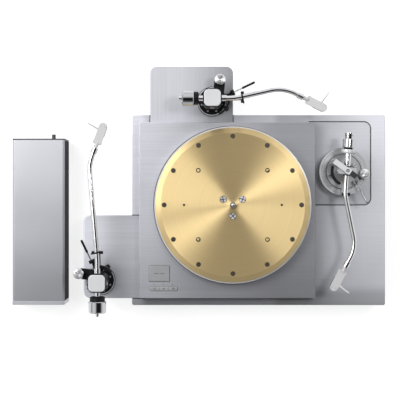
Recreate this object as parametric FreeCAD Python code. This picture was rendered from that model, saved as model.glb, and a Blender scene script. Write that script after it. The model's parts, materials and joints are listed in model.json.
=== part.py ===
# A direct-drive record deck with three tonearms, and the control box that stands beside it.
# Millimetres. X runs to the right, Y to the back and Z up from the table. Places are first
# worked out from the plinth's front left corner and moved to the part's origin when written.
import FreeCAD, Part
import math
import os

os.makedirs("parts", exist_ok=True)

V = FreeCAD.Vector
UP = V(0, 0, 1)

# Fits and gaps
running_fit = 0.05
loose_fit = 0.4
seat_gap = 0.3

# Plinth
plinth_width = 531.0
plinth_corner = 4.0
edge_bevel = 1.0
base_thickness = 26.0
panel_thickness = 30.0
ledge_thickness = 6.0

# Feet under the plinth
pad_height = 4.0
pad_inset = 6.0
foot_body_height = 30.0
foot_radius = 31.0
foot_inset = 56.0
foot_bevel = 5.0

# Motor unit let into the plinth
unit_margin = 17.0
unit_land = 7.5
unit_corner = 3.0
unit_plate_thickness = 26.0
unit_overhang = 14.0
shadow_gap = 1.0
chassis_wall = 6.0
chassis_floor = 5.0
chassis_post = 14.0
spindle_right_of_middle = 10.5
spindle_behind_middle = 11.0

# Motor and bearing
stator_radius = 84.0
stator_board_thickness = 2.5
stator_post_height = 5.0
stator_post = 8.0
stator_hole_radius = 20.0
coil_count = 9
coil_height = 4.0
coil_length = 28.0
coil_width = 22.0
coil_from_edge = 4.0
air_gap = 1.0
magnet_count = 12
magnet_height = 4.0
magnet_length = 30.0
magnet_width = 12.0
rotor_radius = 84.0
rotor_disc_thickness = 5.5
rotor_hub_radius = 30.0
hub_hole_clearance = 8.0
sleeve_radius = 16.0
sleeve_height = 37.0
shaft_radius = 6.0
thrust_depth = 3.0

# Platter
platter_radius = 161.5
platter_thickness = 37.5
platter_well_gap = 2.5
platter_well_depth = 8.0
platter_floor_gap = 1.5
platter_rim_wall = 20.0
platter_web = 15.0
platter_hub_radius = 36.0
brass_thickness = 9.0
brass_rim_step = 3.0
brass_bevel_width = 10.9
brass_bevel_drop = 6.0
weight_count = 12
weight_radius = 4.95
weight_from_edge = 7.0
rim_screw_offset = 70.8
rim_screw_radius = 4.75
lift_hole_offset = 100.1
lift_hole_radius = 2.5
lift_hole_depth = 20.0
hub_screw_count = 3
hub_screw_circle_radius = 22.9
hub_screw_radius = 7.0
hub_screw_recess = 0.7
spindle_pin_radius = 3.6
spindle_pin_height = 12.0
spindle_tip = 2.5

# Buttons on the motor unit
start_button_size = (41.5, 33.0)
start_button_place = (41.5, 51.2)
speed_button_size = (18.5, 8.6)
speed_button_spacing = 19.0
speed_button_place = (31.8, 19.5)
speeds = ("33", "45", "78")
button_proud = 1.0
button_travel = 1.5
button_flange = 2.0
button_flange_height = 3.0
button_gap = 0.2
button_stem_radius = 2.5
key_pocket_margin = 2.6
key_ceiling = 7.0
key_board_thickness = 1.6
switch_size = 6.0
switch_height = 2.4

# Arm boards
board_width = 174.0
board_reach = 118.4
board_tuck = 10.0
board_corner = 14.0
board_groove = 1.2
right_board_from_back = 84.5
rear_board_from_left = 108.0
left_board_from_front = 84.5

# How far each arm's pivot stands out from the motor unit and, seen from there, to the left
# of its board's middle, and where its straight pipe points at rest
right_pivot_out = 58.0
right_pivot_aside = -18.0
rear_pivot_out = 44.6
rear_pivot_aside = -42.7
left_pivot_out = 82.2
left_pivot_aside = 48.7
right_heading = -94.0
rear_heading = 0.0
left_heading = 90.0

# Heights and sweep shared by the arms
arm_axis_height = 170.0
record_thickness = 2.0
inner_groove_radius = 57.0
arm_lift_travel = 4.0
lift_clearance = 1.2
cradle_clearance = 1.6
tilt_pin_radius = 1.5

# Pipes: three straight runs with two bends between them, to the left and then to the right
right_pipe_lengths = (38.5, 76.0, 21.0)
right_bend_radii = (72.0, 66.0)
right_bend_angles = (15.4, -40.0)
rear_pipe_lengths = (30.6, 59.6, 18.0)
rear_bend_radii = (132.0, 76.0)
rear_bend_angles = (12.5, -39.0)
left_pipe_lengths = (33.0, 159.0, 17.0)
left_bend_radii = (323.0, 88.0)
left_bend_angles = (5.0, -25.0)
s_pipe_radius = 4.5
long_pipe_radius = 5.0
collar_length = 12.0
collar_wall = 1.6

# Headshells and cartridges
shell_length = 50.0
shell_width = 17.0
shell_thickness = 2.4
shell_drop = 1.2
shell_nose = 6.0
shell_neck_radius = 4.0
shell_neck_length = 4.0
shell_hole_radius = 1.3
shell_hole_spacing = 12.7
shell_hole_place = 47.0
finger_length = 23.0
finger_width = 4.0
finger_thickness = 1.4
finger_place = 36.0
finger_rise = 4.0
cartridge_length = 22.0
cartridge_width = 16.4
cartridge_height = 10.0
cartridge_nose = 6.0
cartridge_slope = 3.0
stylus_guard = 2.4
stylus_from_nose = 5.5
stylus_drop = 17.0
stylus_radius = 1.2

# Pillar arms, at the back and at the left
flange_radius = 27.0
flange_height = 7.0
collar_radius = 19.5
collar_height = 15.0
stem_radius = 15.0
pillar_radius = 12.0
pillar_grip = 29.0
pillar_head_radius = 19.0
pillar_head_height = 16.0
yoke_half = 19.0
yoke_corner_cut = 7.0
yoke_floor_height = 12.0
yoke_cheek = 7.0
yoke_roof = 3.0
yoke_shaft_radius = 4.0
cap_half = 17.0
cap_corner = 9.0
cap_height = 4.0
pillar_arm_travel = 8.0
block_length = 22.0
block_width = 17.0
block_height = 16.0
root_sleeve_radius = 6.4
root_sleeve_end = 29.0
tail_radius = 5.5
thread_radius = 4.0
tail_neck = 27.0
tail_length = 69.0
weight_start = 27.5
weight_taper = 10.0
weight_drum = 23.5
rear_weight_radius = 16.0
left_weight_radius = 18.0
rest_reach = 61.0
rest_width = 6.0
rest_inner = 12.0
rest_outer = 10.5
rest_lip = 3.0
lift_radius = 34.0
lift_bar_width = 4.0
lift_bar_height = 3.0
lift_stem_radius = 2.5
lift_stem_angle = -30.0
lever_place = (42.0, 13.5)
lever_angle = 24.0
lever_share = 0.52
lever_reach = 51.0
lever_rise = 17.0
lever_hub_radius = 3.5
lever_hub_width = 6.0
lever_rod_radius = 1.3
lever_grip_radius = 2.4
lever_grip_length = 29.0
lever_pin_radius = 1.2
knob_place = (16.0, 41.0)
knob_radius = 11.5
knob_height = 13.0
knob_shaft_radius = 3.0
bracket_thickness = 6.0

# Right arm, with its height ring and bearing bridge
ring_radius = 49.7
ring_inner_radius = 36.0
ring_height = 20.0
right_flange_height = 9.0
ring_collar_radius = 30.0
ring_collar_height = 12.0
right_stem_radius = 21.0
stage_disc_thickness = 8.0
stage_disc_gap = 0.5
stage_rise = 2.0
stage_column_radius = 16.0
stage_column_grip = 32.0
right_arm_travel = 6.0
bridge_angle = 144.0
bridge_reach = 33.5
bridge_width = 10.8
bridge_thickness = 4.7
bridge_post = 10.0
bridge_boss_radius = 6.6
bridge_slope_start = 7.0
bridge_slope_end = 22.0
bridge_slope_drop = 3.2
gimbal_shaft_radius = 5.0
gimbal_width = 36.0
gimbal_length = 14.0
gimbal_cheek = 5.0
gimbal_floor = 6.0
gimbal_depth = 21.0
gimbal_roof = 3.5
gimbal_top_pin_radius = 2.0
right_block_length = 20.0
right_block_height = 13.0
right_tail_radius = 6.3
right_tail_neck = 35.0
right_thread_radius = 5.0
dial_radius = 14.0
dial_width = 8.2
right_weight_radius = 12.2
right_weight_length = 21.0
right_stub_radius = 8.5
right_stub_length = 13.6
right_lift_radius = 29.0
right_lift_span = (165.0, 240.0)
right_lift_stem_angle = 196.0
right_lift_width = 6.0
right_rest_reach = 47.0
right_rest_inner = 6.4
right_rest_outer = 10.1
right_lever_offset = (24.0, -21.0)
right_lever_angle = -64.0
right_lever_share = 0.26
right_knob_offset = (40.7, -4.6)
right_knob_radius = 10.4
right_knob_height = 13.0
lobe_thickness = 6.0
lobe_clearance = 1.5
lift_screw_offset = (21.3, 12.3)
lift_screw_radius = 4.7
lift_screw_height = 14.0

# Control box that stands at the left
control_width = 110.0
control_depth = 350.0
control_height = 84.0
control_gap = 142.0
control_foot_height = 8.0
control_foot_radius = 9.0
control_foot_inset = 18.0
control_wall = 4.0
control_bevel = 4.0
front_panel_thickness = 8.5
rear_panel_thickness = 3.0
power_button_radius = 8.0
power_button_travel = 2.0
power_button_proud = 1.0
power_button_place = (24.0, 38.0)
window_size = (40.0, 14.0)
window_place = (72.0, 38.0)
window_thickness = 2.0
inlet_size = (27.0, 20.0)
inlet_depth = 14.0
inlet_wall = 2.0
inlet_place = (30.0, 30.0)
socket_radius = 8.0
socket_wall = 2.0
socket_depth = 10.0
socket_place = (76.0, 30.0)
terminal_radius = 4.0
terminal_length = 9.0
terminal_place = (85.5, 70.0)

# Places that follow from the sizes above. The platter sets the size of the motor unit
# round it, and the plinth is as deep as the unit and a margin on each side
unit_size = 2 * (platter_radius + platter_well_gap + spindle_behind_middle + unit_land)
plinth_depth = unit_size + 2 * unit_margin
brass_flat_radius = platter_radius - brass_rim_step - brass_bevel_width
weight_circle_radius = brass_flat_radius - weight_from_edge
foot_height = pad_height + foot_body_height
base_top = foot_height + base_thickness
panel_top = base_top + panel_thickness
board_bottom = base_top + ledge_thickness
plate_bottom = panel_top + shadow_gap
plate_top = plate_bottom + unit_plate_thickness
unit_left = unit_margin
unit_front = unit_margin
unit_right = unit_margin + unit_size
unit_back = unit_margin + unit_size
spindle = (
    unit_margin + unit_size / 2 + spindle_right_of_middle,
    unit_margin + unit_size / 2 + spindle_behind_middle,
)
platter_bottom = plate_top - platter_well_depth + platter_floor_gap
platter_top = platter_bottom + platter_thickness
brass_bottom = platter_top - brass_thickness
web_bottom = brass_bottom - platter_web
hub_top = platter_bottom + platter_well_depth
record_height = platter_top + record_thickness
stylus_height = arm_axis_height - stylus_drop
control_left = -control_gap - control_width
control_right = -control_gap
boards = {
    "right": ((unit_right, unit_back - right_board_from_back), 0.0),
    "rear": ((unit_left + rear_board_from_left, unit_back), 90.0),
    "left": ((unit_left, unit_front + left_board_from_front), 180.0),
}
right_pivot = (unit_right + right_pivot_out, boards["right"][0][1] + right_pivot_aside)
rear_pivot = (boards["rear"][0][0] - rear_pivot_aside, unit_back + rear_pivot_out)
left_pivot = (unit_left - left_pivot_out, boards["left"][0][1] - left_pivot_aside)
pivots = {"right": right_pivot, "rear": rear_pivot, "left": left_pivot}
headings = {"right": right_heading, "rear": rear_heading, "left": left_heading}
routes = {
    "right": (right_pipe_lengths, right_bend_radii, right_bend_angles),
    "rear": (rear_pipe_lengths, rear_bend_radii, rear_bend_angles),
    "left": (left_pipe_lengths, left_bend_radii, left_bend_angles),
}
stem_radii = {"right": right_stem_radius, "rear": stem_radius, "left": stem_radius}

# The origin lies on the table, under the middle of the whole part
part_front = min(0.0, left_pivot[1] - tail_length)
part_back = max(unit_back + board_reach, plinth_depth)
part_left = control_left
part_right = plinth_width
middle = ((part_left + part_right) / 2, (part_front + part_back) / 2)


# Shapes that the pieces are made of

def polar(radius, angle, at=(0.0, 0.0)):
    turn = math.radians(angle)
    return (at[0] + radius * math.cos(turn), at[1] + radius * math.sin(turn))


def block(x, y, z):
    return Part.makeBox(x[1] - x[0], y[1] - y[0], z[1] - z[0], V(x[0], y[0], z[0]))


def drum(radius, z, at=(0.0, 0.0)):
    return Part.makeCylinder(radius, z[1] - z[0], V(at[0], at[1], z[0]))


def washer(outer, inner, z, at=(0.0, 0.0)):
    return drum(outer, z, at).cut(drum(inner, z, at))


def rod(radius, start, end):
    first = V(*start)
    run = V(*end) - first
    return Part.makeCylinder(radius, run.Length, first, run)


def turned(profile, at=(0.0, 0.0)):
    """A solid turned about an upright axis, from points of radius and height."""
    points = [V(radius, 0, height) for radius, height in profile]
    face = Part.Face(Part.makePolygon(points + points[:1]))
    solid = face.revolve(V(0, 0, 0), UP, 360)
    solid.translate(V(at[0], at[1], 0))
    return solid


def prism(points, z):
    face = Part.Face(Part.makePolygon([V(x, y, z[0]) for x, y in points + points[:1]]))
    return face.extrude(V(0, 0, z[1] - z[0]))


def arc_edge(centre, radius, start, end, height):
    points = [polar(radius, angle, centre) for angle in (start, (start + end) / 2, end)]
    return Part.Arc(*[V(x, y, height) for x, y in points]).toShape()


def line_edge(first, second, height):
    return Part.LineSegment(V(first[0], first[1], height), V(second[0], second[1], height)).toShape()


def slab(x, y, z, radii):
    """A plate with rounded upright edges: front left, front right, back right, back left."""
    corners = ((x[0], y[0], 180), (x[1], y[0], 270), (x[1], y[1], 0), (x[0], y[1], 90))
    inward = ((1, 1), (-1, 1), (-1, -1), (1, -1))
    turns = []
    for (cx, cy, start), (ix, iy), radius in zip(corners, inward, radii):
        turns.append(((cx + ix * radius, cy + iy * radius), radius, start))
    edges = []
    for index, (centre, radius, start) in enumerate(turns):
        if radius:
            edges.append(arc_edge(centre, radius, start, start + 90, z[0]))
        after, after_radius, after_start = turns[(index + 1) % 4]
        leave = polar(radius, start + 90, centre)
        arrive = polar(after_radius, after_start, after)
        edges.append(line_edge(leave, arrive, z[0]))
    return Part.Face(Part.Wire(edges)).extrude(V(0, 0, z[1] - z[0]))


def arc_bar(radius, width, span, z):
    """A bar bent round the origin, with round ends."""
    start, end = span
    inner = radius - width / 2
    outer = radius + width / 2
    tip = polar(radius, end)
    tail = polar(radius, start)
    edges = [
        arc_edge((0, 0), outer, start, end, z[0]),
        arc_edge(tip, width / 2, end, end + 180, z[0]),
        arc_edge((0, 0), inner, end, start, z[0]),
        arc_edge(tail, width / 2, start + 180, start + 360, z[0]),
    ]
    return Part.Face(Part.Wire(edges)).extrude(V(0, 0, z[1] - z[0]))


def bar(first, second, width, z):
    """A flat bar between two places."""
    run = math.dist(first, second)
    heading = math.degrees(math.atan2(second[1] - first[1], second[0] - first[0]))
    return placed(block((0, run), (-width / 2, width / 2), z), first, heading)


def cut_square(half, corner, z):
    near = half - corner
    outline = [(half, -near), (half, near), (near, half), (-near, half)]
    return prism(outline + [(-x, -y) for x, y in outline], z)


def bevelled(solid, height, size):
    """Bevels every edge that lies at one height."""
    edges = []
    for edge in solid.Edges:
        if all(abs(vertex.Z - height) < 1e-6 for vertex in edge.Vertexes):
            edges.append(edge)
    return solid.makeChamfer(size, edges)


def placed(shape, at, heading=0.0):
    moved = shape.copy()
    moved.rotate(V(0, 0, 0), UP, heading)
    moved.translate(V(at[0], at[1], 0))
    return moved


def joined(first, *others):
    return first.multiFuse(list(others)).removeSplitter()


def around(count, first_angle=0.0):
    return [first_angle + 360.0 * index / count for index in range(count)]


# Plinth, feet and arm boards

def foot_places():
    xs = (foot_inset, plinth_width - foot_inset)
    ys = (foot_inset, plinth_depth - foot_inset)
    return [(x, y) for x in xs for y in ys]


def board_outline(name, extra, z):
    """One board's outline. Its inner corners are square, under the motor unit."""
    at, heading = boards[name]
    half = board_width / 2 + extra
    outer = board_corner + extra
    ends = (-board_tuck - extra, board_reach + extra)
    shape = slab(ends, (-half, half), z, (0.0, outer, outer, 0.0))
    return placed(shape, at, heading)


def make_board(name):
    board = bevelled(board_outline(name, 0.0, (board_bottom, panel_top)), panel_top, edge_bevel)
    return board.cut(drum(stem_radii[name] + loose_fit, (board_bottom, panel_top), pivots[name]))


def make_plinth_base():
    return slab((0, plinth_width), (0, plinth_depth), (foot_height, base_top), (plinth_corner,) * 4)


def make_plinth_panel():
    z = (base_top, panel_top)
    panel = slab((0, plinth_width), (0, plinth_depth), z, (plinth_corner,) * 4)
    panel = bevelled(panel, panel_top, edge_bevel)
    well = unit_overhang - loose_fit
    x = (unit_left + well, unit_right - well)
    y = (unit_front + well, unit_back - well)
    panel = panel.cut(block(x, y, z))
    for name in boards:
        panel = panel.cut(board_outline(name, board_groove, (board_bottom, panel_top)))
    return panel


def make_feet():
    profile = [
        (0, pad_height),
        (foot_radius - foot_bevel, pad_height),
        (foot_radius, pad_height + foot_bevel),
        (foot_radius, foot_height),
        (0, foot_height),
    ]
    return [turned(profile, place) for place in foot_places()]


def control_foot_places():
    xs = (control_left + control_foot_inset, control_right - control_foot_inset)
    ys = (control_foot_inset, control_depth - control_foot_inset)
    return [(x, y) for x in xs for y in ys]


def make_rubber_feet():
    pads = [drum(foot_radius - pad_inset, (0, pad_height), place) for place in foot_places()]
    for place in control_foot_places():
        pads.append(drum(control_foot_radius, (0, control_foot_height), place))
    return pads


# Motor unit

chassis_floor_top = base_top + chassis_floor
stator_bottom = chassis_floor_top + stator_post_height
coil_bottom = stator_bottom + stator_board_thickness
magnet_bottom = coil_bottom + coil_height + air_gap
rotor_bottom = magnet_bottom + magnet_height
sleeve_top = chassis_floor_top + sleeve_height
button_top = plate_top + button_proud
key_pocket_top = plate_top - key_ceiling
chassis_left = unit_left + unit_overhang
chassis_right = unit_right - unit_overhang


def make_chassis():
    x = (chassis_left, chassis_right)
    outer = block(x, x, (base_top, plate_bottom))
    inside = (chassis_left + chassis_wall, chassis_right - chassis_wall)
    shell = outer.cut(block(inside, inside, (chassis_floor_top, plate_bottom)))
    ends = (
        (inside[0], inside[0] + chassis_post),
        (inside[1] - chassis_post, inside[1]),
    )
    posts = [block(px, py, (base_top, plate_bottom)) for px in ends for py in ends]
    half = stator_post / 2
    for angle in around(3, 30):
        px, py = polar(stator_radius - stator_post, angle, spindle)
        posts.append(block((px - half, px + half), (py - half, py + half), (base_top, stator_bottom)))
    return joined(shell, *posts)


def make_stator():
    board = washer(stator_radius, stator_hole_radius, (stator_bottom, coil_bottom), spindle)
    outer = stator_radius - coil_from_edge
    x = (outer - coil_length, outer)
    y = (-coil_width / 2, coil_width / 2)
    coil = block(x, y, (coil_bottom, coil_bottom + coil_height))
    coils = [placed(coil, spindle, angle) for angle in around(coil_count)]
    return joined(board, *coils)


def make_bearing_sleeve():
    bore = shaft_radius + running_fit
    profile = [
        (0, chassis_floor_top),
        (sleeve_radius, chassis_floor_top),
        (sleeve_radius, sleeve_top),
        (bore, sleeve_top),
        (bore, chassis_floor_top + thrust_depth),
        (0, chassis_floor_top + thrust_depth),
    ]
    return turned(profile, spindle)


def make_rotor():
    recess = sleeve_radius + air_gap * 1.5
    recess_top = sleeve_top + air_gap * 2
    profile = [
        (recess, rotor_bottom),
        (rotor_radius, rotor_bottom),
        (rotor_radius, rotor_bottom + rotor_disc_thickness),
        (rotor_hub_radius, rotor_bottom + rotor_disc_thickness),
        (rotor_hub_radius, hub_top),
        (shaft_radius, hub_top),
        (shaft_radius, recess_top),
        (recess, recess_top),
    ]
    rotor = turned(profile, spindle)
    outer = stator_radius - coil_from_edge
    x = (outer - magnet_length, outer)
    y = (-magnet_width / 2, magnet_width / 2)
    magnet = block(x, y, (magnet_bottom, rotor_bottom))
    magnets = [placed(magnet, spindle, angle) for angle in around(magnet_count)]
    return joined(rotor, *magnets)


def button_rectangles():
    """The start button and the speed buttons: name, low corner and high corner."""
    left = unit_left + start_button_place[0] - start_button_size[0] / 2
    front = unit_front + start_button_place[1] - start_button_size[1] / 2
    high = (left + start_button_size[0], front + start_button_size[1])
    found = [("start_stop_button", (left, front), high)]
    for index, speed in enumerate(speeds):
        middle_x = unit_left + speed_button_place[0] + index * speed_button_spacing
        middle_y = unit_front + speed_button_place[1]
        low = (middle_x - speed_button_size[0] / 2, middle_y - speed_button_size[1] / 2)
        high = (middle_x + speed_button_size[0] / 2, middle_y + speed_button_size[1] / 2)
        found.append(("speed_button_" + speed, low, high))
    return found


def surround(rectangles, margin):
    """The spans across and along that hold some of the buttons, with a margin."""
    x = (min(low[0] for _, low, _ in rectangles), max(high[0] for _, _, high in rectangles))
    y = (min(low[1] for _, low, _ in rectangles), max(high[1] for _, _, high in rectangles))
    return (x[0] - margin, x[1] + margin), (y[0] - margin, y[1] + margin)


def make_unit_plate():
    side = (unit_left, unit_right)
    plate = slab(side, side, (plate_bottom, plate_top), (unit_corner,) * 4)
    plate = bevelled(plate, plate_top, edge_bevel)
    well = platter_radius + platter_well_gap
    plate = plate.cut(drum(well, (plate_top - platter_well_depth, plate_top), spindle))
    hole = rotor_hub_radius + hub_hole_clearance
    plate = plate.cut(drum(hole, (plate_bottom, plate_top), spindle))
    pocket_x, pocket_y = surround(button_rectangles(), key_pocket_margin)
    plate = plate.cut(block(pocket_x, pocket_y, (plate_bottom, key_pocket_top)))
    rectangles = button_rectangles()
    for row in (rectangles[:1], rectangles[1:]):
        x, y = surround(row, button_gap)
        plate = plate.cut(block(x, y, (key_pocket_top, plate_top)))
    return plate


def flange_grow(name):
    """Speed buttons stand side by side, so their flanges only grow to the front and back."""
    return button_flange if name == "start_stop_button" else 0.0


def make_button(name, low, high):
    flange_top = key_pocket_top - seat_gap
    flange_bottom = flange_top - button_flange_height
    cap = block((low[0], high[0]), (low[1], high[1]), (flange_bottom, button_top))
    cap = bevelled(cap, button_top, button_proud / 2)
    grow = flange_grow(name)
    x = (low[0] - grow, high[0] + grow)
    y = (low[1] - button_flange, high[1] + button_flange)
    flange = block(x, y, (flange_bottom, flange_top))
    centre = ((low[0] + high[0]) / 2, (low[1] + high[1]) / 2)
    stem = drum(button_stem_radius, (switch_top + button_travel + seat_gap, flange_bottom), centre)
    return joined(cap, flange, stem)


key_board_bottom = plate_bottom + seat_gap
switch_top = key_board_bottom + key_board_thickness + switch_height


def make_key_board():
    rectangles = button_rectangles()
    x, y = surround(rectangles, key_pocket_margin - seat_gap)
    copper = key_board_bottom + key_board_thickness
    board = block(x, y, (key_board_bottom, copper))
    pieces = []
    for _, low, high in rectangles:
        middle_x = (low[0] + high[0]) / 2
        middle_y = (low[1] + high[1]) / 2
        half = switch_size / 2
        span_x = (middle_x - half, middle_x + half)
        span_y = (middle_y - half, middle_y + half)
        pieces.append(block(span_x, span_y, (copper, switch_top)))
    post_y = (rectangles[0][1][1] + rectangles[1][2][1]) / 2
    for post_x in (x[0] + switch_size, x[1] - switch_size):
        pieces.append(drum(button_stem_radius, (copper, key_pocket_top), (post_x, post_y)))
    return joined(board, *pieces)


# Platter

def hub_screw_places():
    return [polar(hub_screw_circle_radius, angle, spindle) for angle in around(hub_screw_count, 30)]


def rim_screw_places():
    signs = ((1, 1), (-1, 1), (-1, -1), (1, -1))
    return [(spindle[0] + sx * rim_screw_offset, spindle[1] + sy * rim_screw_offset) for sx, sy in signs]


def weight_places():
    return [polar(weight_circle_radius, angle, spindle) for angle in around(weight_count)]


def lift_hole_places():
    return [(spindle[0] + side * lift_hole_offset, spindle[1]) for side in (-1, 1)]


def drilled(solid, radius, z, places):
    for place in places:
        solid = solid.cut(drum(radius, z, place))
    return solid


def make_platter_body():
    rim_inner = platter_radius - platter_rim_wall
    profile = [
        (shaft_radius, hub_top),
        (platter_hub_radius, hub_top),
        (platter_hub_radius, web_bottom),
        (rim_inner, web_bottom),
        (rim_inner, platter_bottom),
        (platter_radius, platter_bottom),
        (platter_radius, brass_bottom),
        (shaft_radius, brass_bottom),
    ]
    z = (platter_top - lift_hole_depth, brass_bottom)
    return drilled(turned(profile, spindle), lift_hole_radius, z, lift_hole_places())


def make_platter_brass():
    rim = platter_radius - brass_rim_step
    bore = shaft_radius + running_fit
    profile = [
        (bore, brass_bottom),
        (rim, brass_bottom),
        (rim, platter_top - brass_bevel_drop),
        (brass_flat_radius, platter_top),
        (bore, platter_top),
    ]
    brass = turned(profile, spindle)
    through = (brass_bottom, platter_top)
    brass = drilled(brass, weight_radius + running_fit, through, weight_places())
    brass = drilled(brass, lift_hole_radius, through, lift_hole_places())
    brass = drilled(brass, rim_screw_radius + running_fit, through, rim_screw_places())
    return drilled(brass, hub_screw_radius + loose_fit, through, hub_screw_places())


def make_platter_weights():
    top = platter_top - seat_gap
    return [drum(weight_radius, (brass_bottom, top), place) for place in weight_places()]


def make_platter_screws():
    """Screw heads that stand on the platter's body, in the holes of the brass."""
    rim_z = (brass_bottom, platter_top - seat_gap)
    hub_z = (brass_bottom, platter_top - hub_screw_recess)
    screws = [drum(rim_screw_radius, rim_z, place) for place in rim_screw_places()]
    return screws + [drum(hub_screw_radius, hub_z, place) for place in hub_screw_places()]


def make_spindle():
    start = chassis_floor_top + thrust_depth
    top = platter_top + spindle_pin_height
    profile = [
        (0, start),
        (shaft_radius / 3, start),
        (shaft_radius, start + shaft_radius / 3),
        (shaft_radius, platter_top),
        (spindle_pin_radius, platter_top),
        (spindle_pin_radius, top - spindle_tip),
        (spindle_pin_radius * 0.7, top - spindle_tip * 0.3),
        (0, top),
    ]
    return turned(profile, spindle)


# Pieces shared by the arms, in the arm's own frame: the pivot at the origin, the pipe along X

def along_arm(profile):
    """A solid turned about the arm's axis, from points of radius and distance along it."""
    solid = turned(profile)
    solid.rotate(V(0, 0, 0), V(0, 1, 0), 90)
    solid.translate(V(0, 0, arm_axis_height))
    return solid


def bored_drum(profile, bore):
    """A turned weight with a bore, from its outer points."""
    first = profile[0][1]
    last = profile[-1][1]
    return along_arm([(bore, first)] + profile + [(bore, last)])


def make_tube(start, route, radius):
    """The pipe's straight runs and bends, with the place and heading of its end."""
    lengths, radii, turns = route
    steps = zip((lengths[0] - start, *lengths[1:]), (*turns, 0.0), (*radii, 0.0))
    pieces = []
    place = (start, 0.0)
    heading = 0.0
    for run, turn, bend in steps:
        after = polar(run, heading, place)
        pieces.append(rod(radius, (*place, arm_axis_height), (*after, arm_axis_height)))
        place = after
        if turn:
            side = math.copysign(90.0, turn)
            centre = polar(bend, heading + side, place)
            circle = Part.makeCircle(radius, V(*place, arm_axis_height), V(*polar(1.0, heading), 0))
            section = Part.Face(Part.Wire(circle))
            pieces.append(section.revolve(V(*centre, arm_axis_height), UP, turn))
            place = polar(bend, heading - side + turn, centre)
            heading += turn
    return pieces, place, heading


def make_pipe(route, radius, block_size, tail, bore_width):
    """The pipe, its bearing block and its tail, as one piece."""
    length, width, height = block_size
    neck_radius, neck_end, thread, thread_end = tail
    tube, end, heading = make_tube(length / 2 - 1.0, route, radius)
    z = (arm_axis_height - height / 2, arm_axis_height + height / 2)
    body = block((-length / 2, length / 2), (-width / 2, width / 2), z)
    neck = along_arm([
        (0, -thread_end),
        (thread * 0.8, -thread_end),
        (thread, -thread_end + thread * 0.4),
        (thread, -neck_end),
        (neck_radius, -neck_end),
        (neck_radius, 0),
        (0, 0),
    ])
    collar = rod(
        radius + collar_wall,
        (*polar(-collar_length, heading, end), arm_axis_height),
        (*end, arm_axis_height),
    )
    arm = joined(body, *tube, neck, collar)
    for side in (-1, 1):
        outer = (0, side * width / 2, arm_axis_height)
        inner = (0, side * (width / 2 - bore_width), arm_axis_height)
        arm = arm.cut(rod(tilt_pin_radius + running_fit, outer, inner))
    return arm, end, heading


def make_headshell():
    """A plate with a neck, two screw holes and a finger lift. Its frame starts at the pipe's end."""
    top = arm_axis_height - shell_drop
    z = (top - shell_thickness, top)
    start = shell_neck_length
    end = start + shell_length
    half = shell_width / 2
    plate = slab((start, end), (-half, half), z, (0.0, shell_nose, shell_nose, 0.0))
    for side in (-1, 1):
        plate = plate.cut(drum(shell_hole_radius, z, (shell_hole_place, side * shell_hole_spacing / 2)))
    neck = rod(shell_neck_radius, (seat_gap, 0, arm_axis_height), (start + 6.0, 0, arm_axis_height))
    neck = neck.common(block((0, start + 6.0), (-half, half), (z[0], arm_axis_height + half)))
    low = (top - finger_thickness, top)
    base = block((finger_place, finger_place + finger_width), (half - 2.0, half + 2.0), low)
    root = V(finger_place + finger_width / 2, half + 1.0, top - finger_thickness / 2)
    tip = V(root.x + finger_width, half + finger_length, root.z + finger_rise)
    run = tip - root
    finger = Part.makeBox(run.Length, finger_width, finger_thickness)
    finger.translate(V(0, -finger_width / 2, -finger_thickness / 2))
    tilt = math.degrees(math.asin(run.z / run.Length))
    finger.rotate(V(0, 0, 0), V(0, 1, 0), -tilt)
    finger.rotate(V(0, 0, 0), UP, math.degrees(math.atan2(run.y, run.x)))
    finger.translate(root)
    return joined(plate, neck, base, finger)


def make_cartridge():
    """The pickup under the headshell, with its cantilever and stylus."""
    top = arm_axis_height - shell_drop - shell_thickness
    half = cartridge_width / 2
    nose = shell_neck_length + shell_length - cartridge_nose
    low = top - cartridge_height
    side = [
        (nose - cartridge_length, low),
        (nose - cartridge_slope, low),
        (nose, top - cartridge_height / 2),
        (nose, top),
        (nose - cartridge_length, top),
    ]
    points = [V(x, -half, z) for x, z in side]
    body = Part.Face(Part.makePolygon(points + points[:1])).extrude(V(0, cartridge_width, 0))
    tip_x = shell_neck_length + shell_length - stylus_from_nose
    span = (-stylus_guard / 2, stylus_guard / 2)
    guard = block((nose - cartridge_slope * 2, tip_x), span, (low - stylus_guard, low))
    stylus = Part.makeCone(
        stylus_radius / 4,
        stylus_radius,
        low - stylus_guard - stylus_height,
        V(tip_x - stylus_radius, 0, stylus_height),
    )
    return joined(body, guard, stylus)


def stylus_reach(end, heading):
    """How far the stylus stands from the pivot, and at what angle to the pipe's start."""
    along = shell_neck_length + shell_length - stylus_from_nose - stylus_radius
    tip = polar(along, heading, end)
    return math.hypot(*tip), math.degrees(math.atan2(tip[1], tip[0]))


def swing_range(name, reach, angle):
    """How far the arm turns from rest to the innermost groove."""
    pivot = pivots[name]
    distance = math.dist(pivot, spindle)
    toward = math.degrees(math.atan2(spindle[1] - pivot[1], spindle[0] - pivot[0]))
    squares = distance ** 2 + reach ** 2 - inner_groove_radius ** 2
    opening = math.degrees(math.acos(squares / (2 * distance * reach)))
    rest = headings[name] + angle
    return (rest - toward - opening) % 360.0


def tilt_down(reach):
    """How far the arm dips until the stylus meets a record."""
    return math.degrees(math.asin((stylus_height - record_height) / reach))


def make_knob(place, radius, z, shaft_bottom):
    profile = [
        (0, shaft_bottom),
        (knob_shaft_radius, shaft_bottom),
        (knob_shaft_radius, z[0]),
        (radius, z[0]),
        (radius, z[1] - edge_bevel),
        (radius - edge_bevel, z[1]),
        (0, z[1]),
    ]
    return turned(profile, place)


def lever_frame(shape, place, height, angle):
    moved = shape.copy()
    moved.rotate(V(0, 0, 0), UP, angle)
    moved.translate(V(place[0], place[1], height))
    return moved


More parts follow.
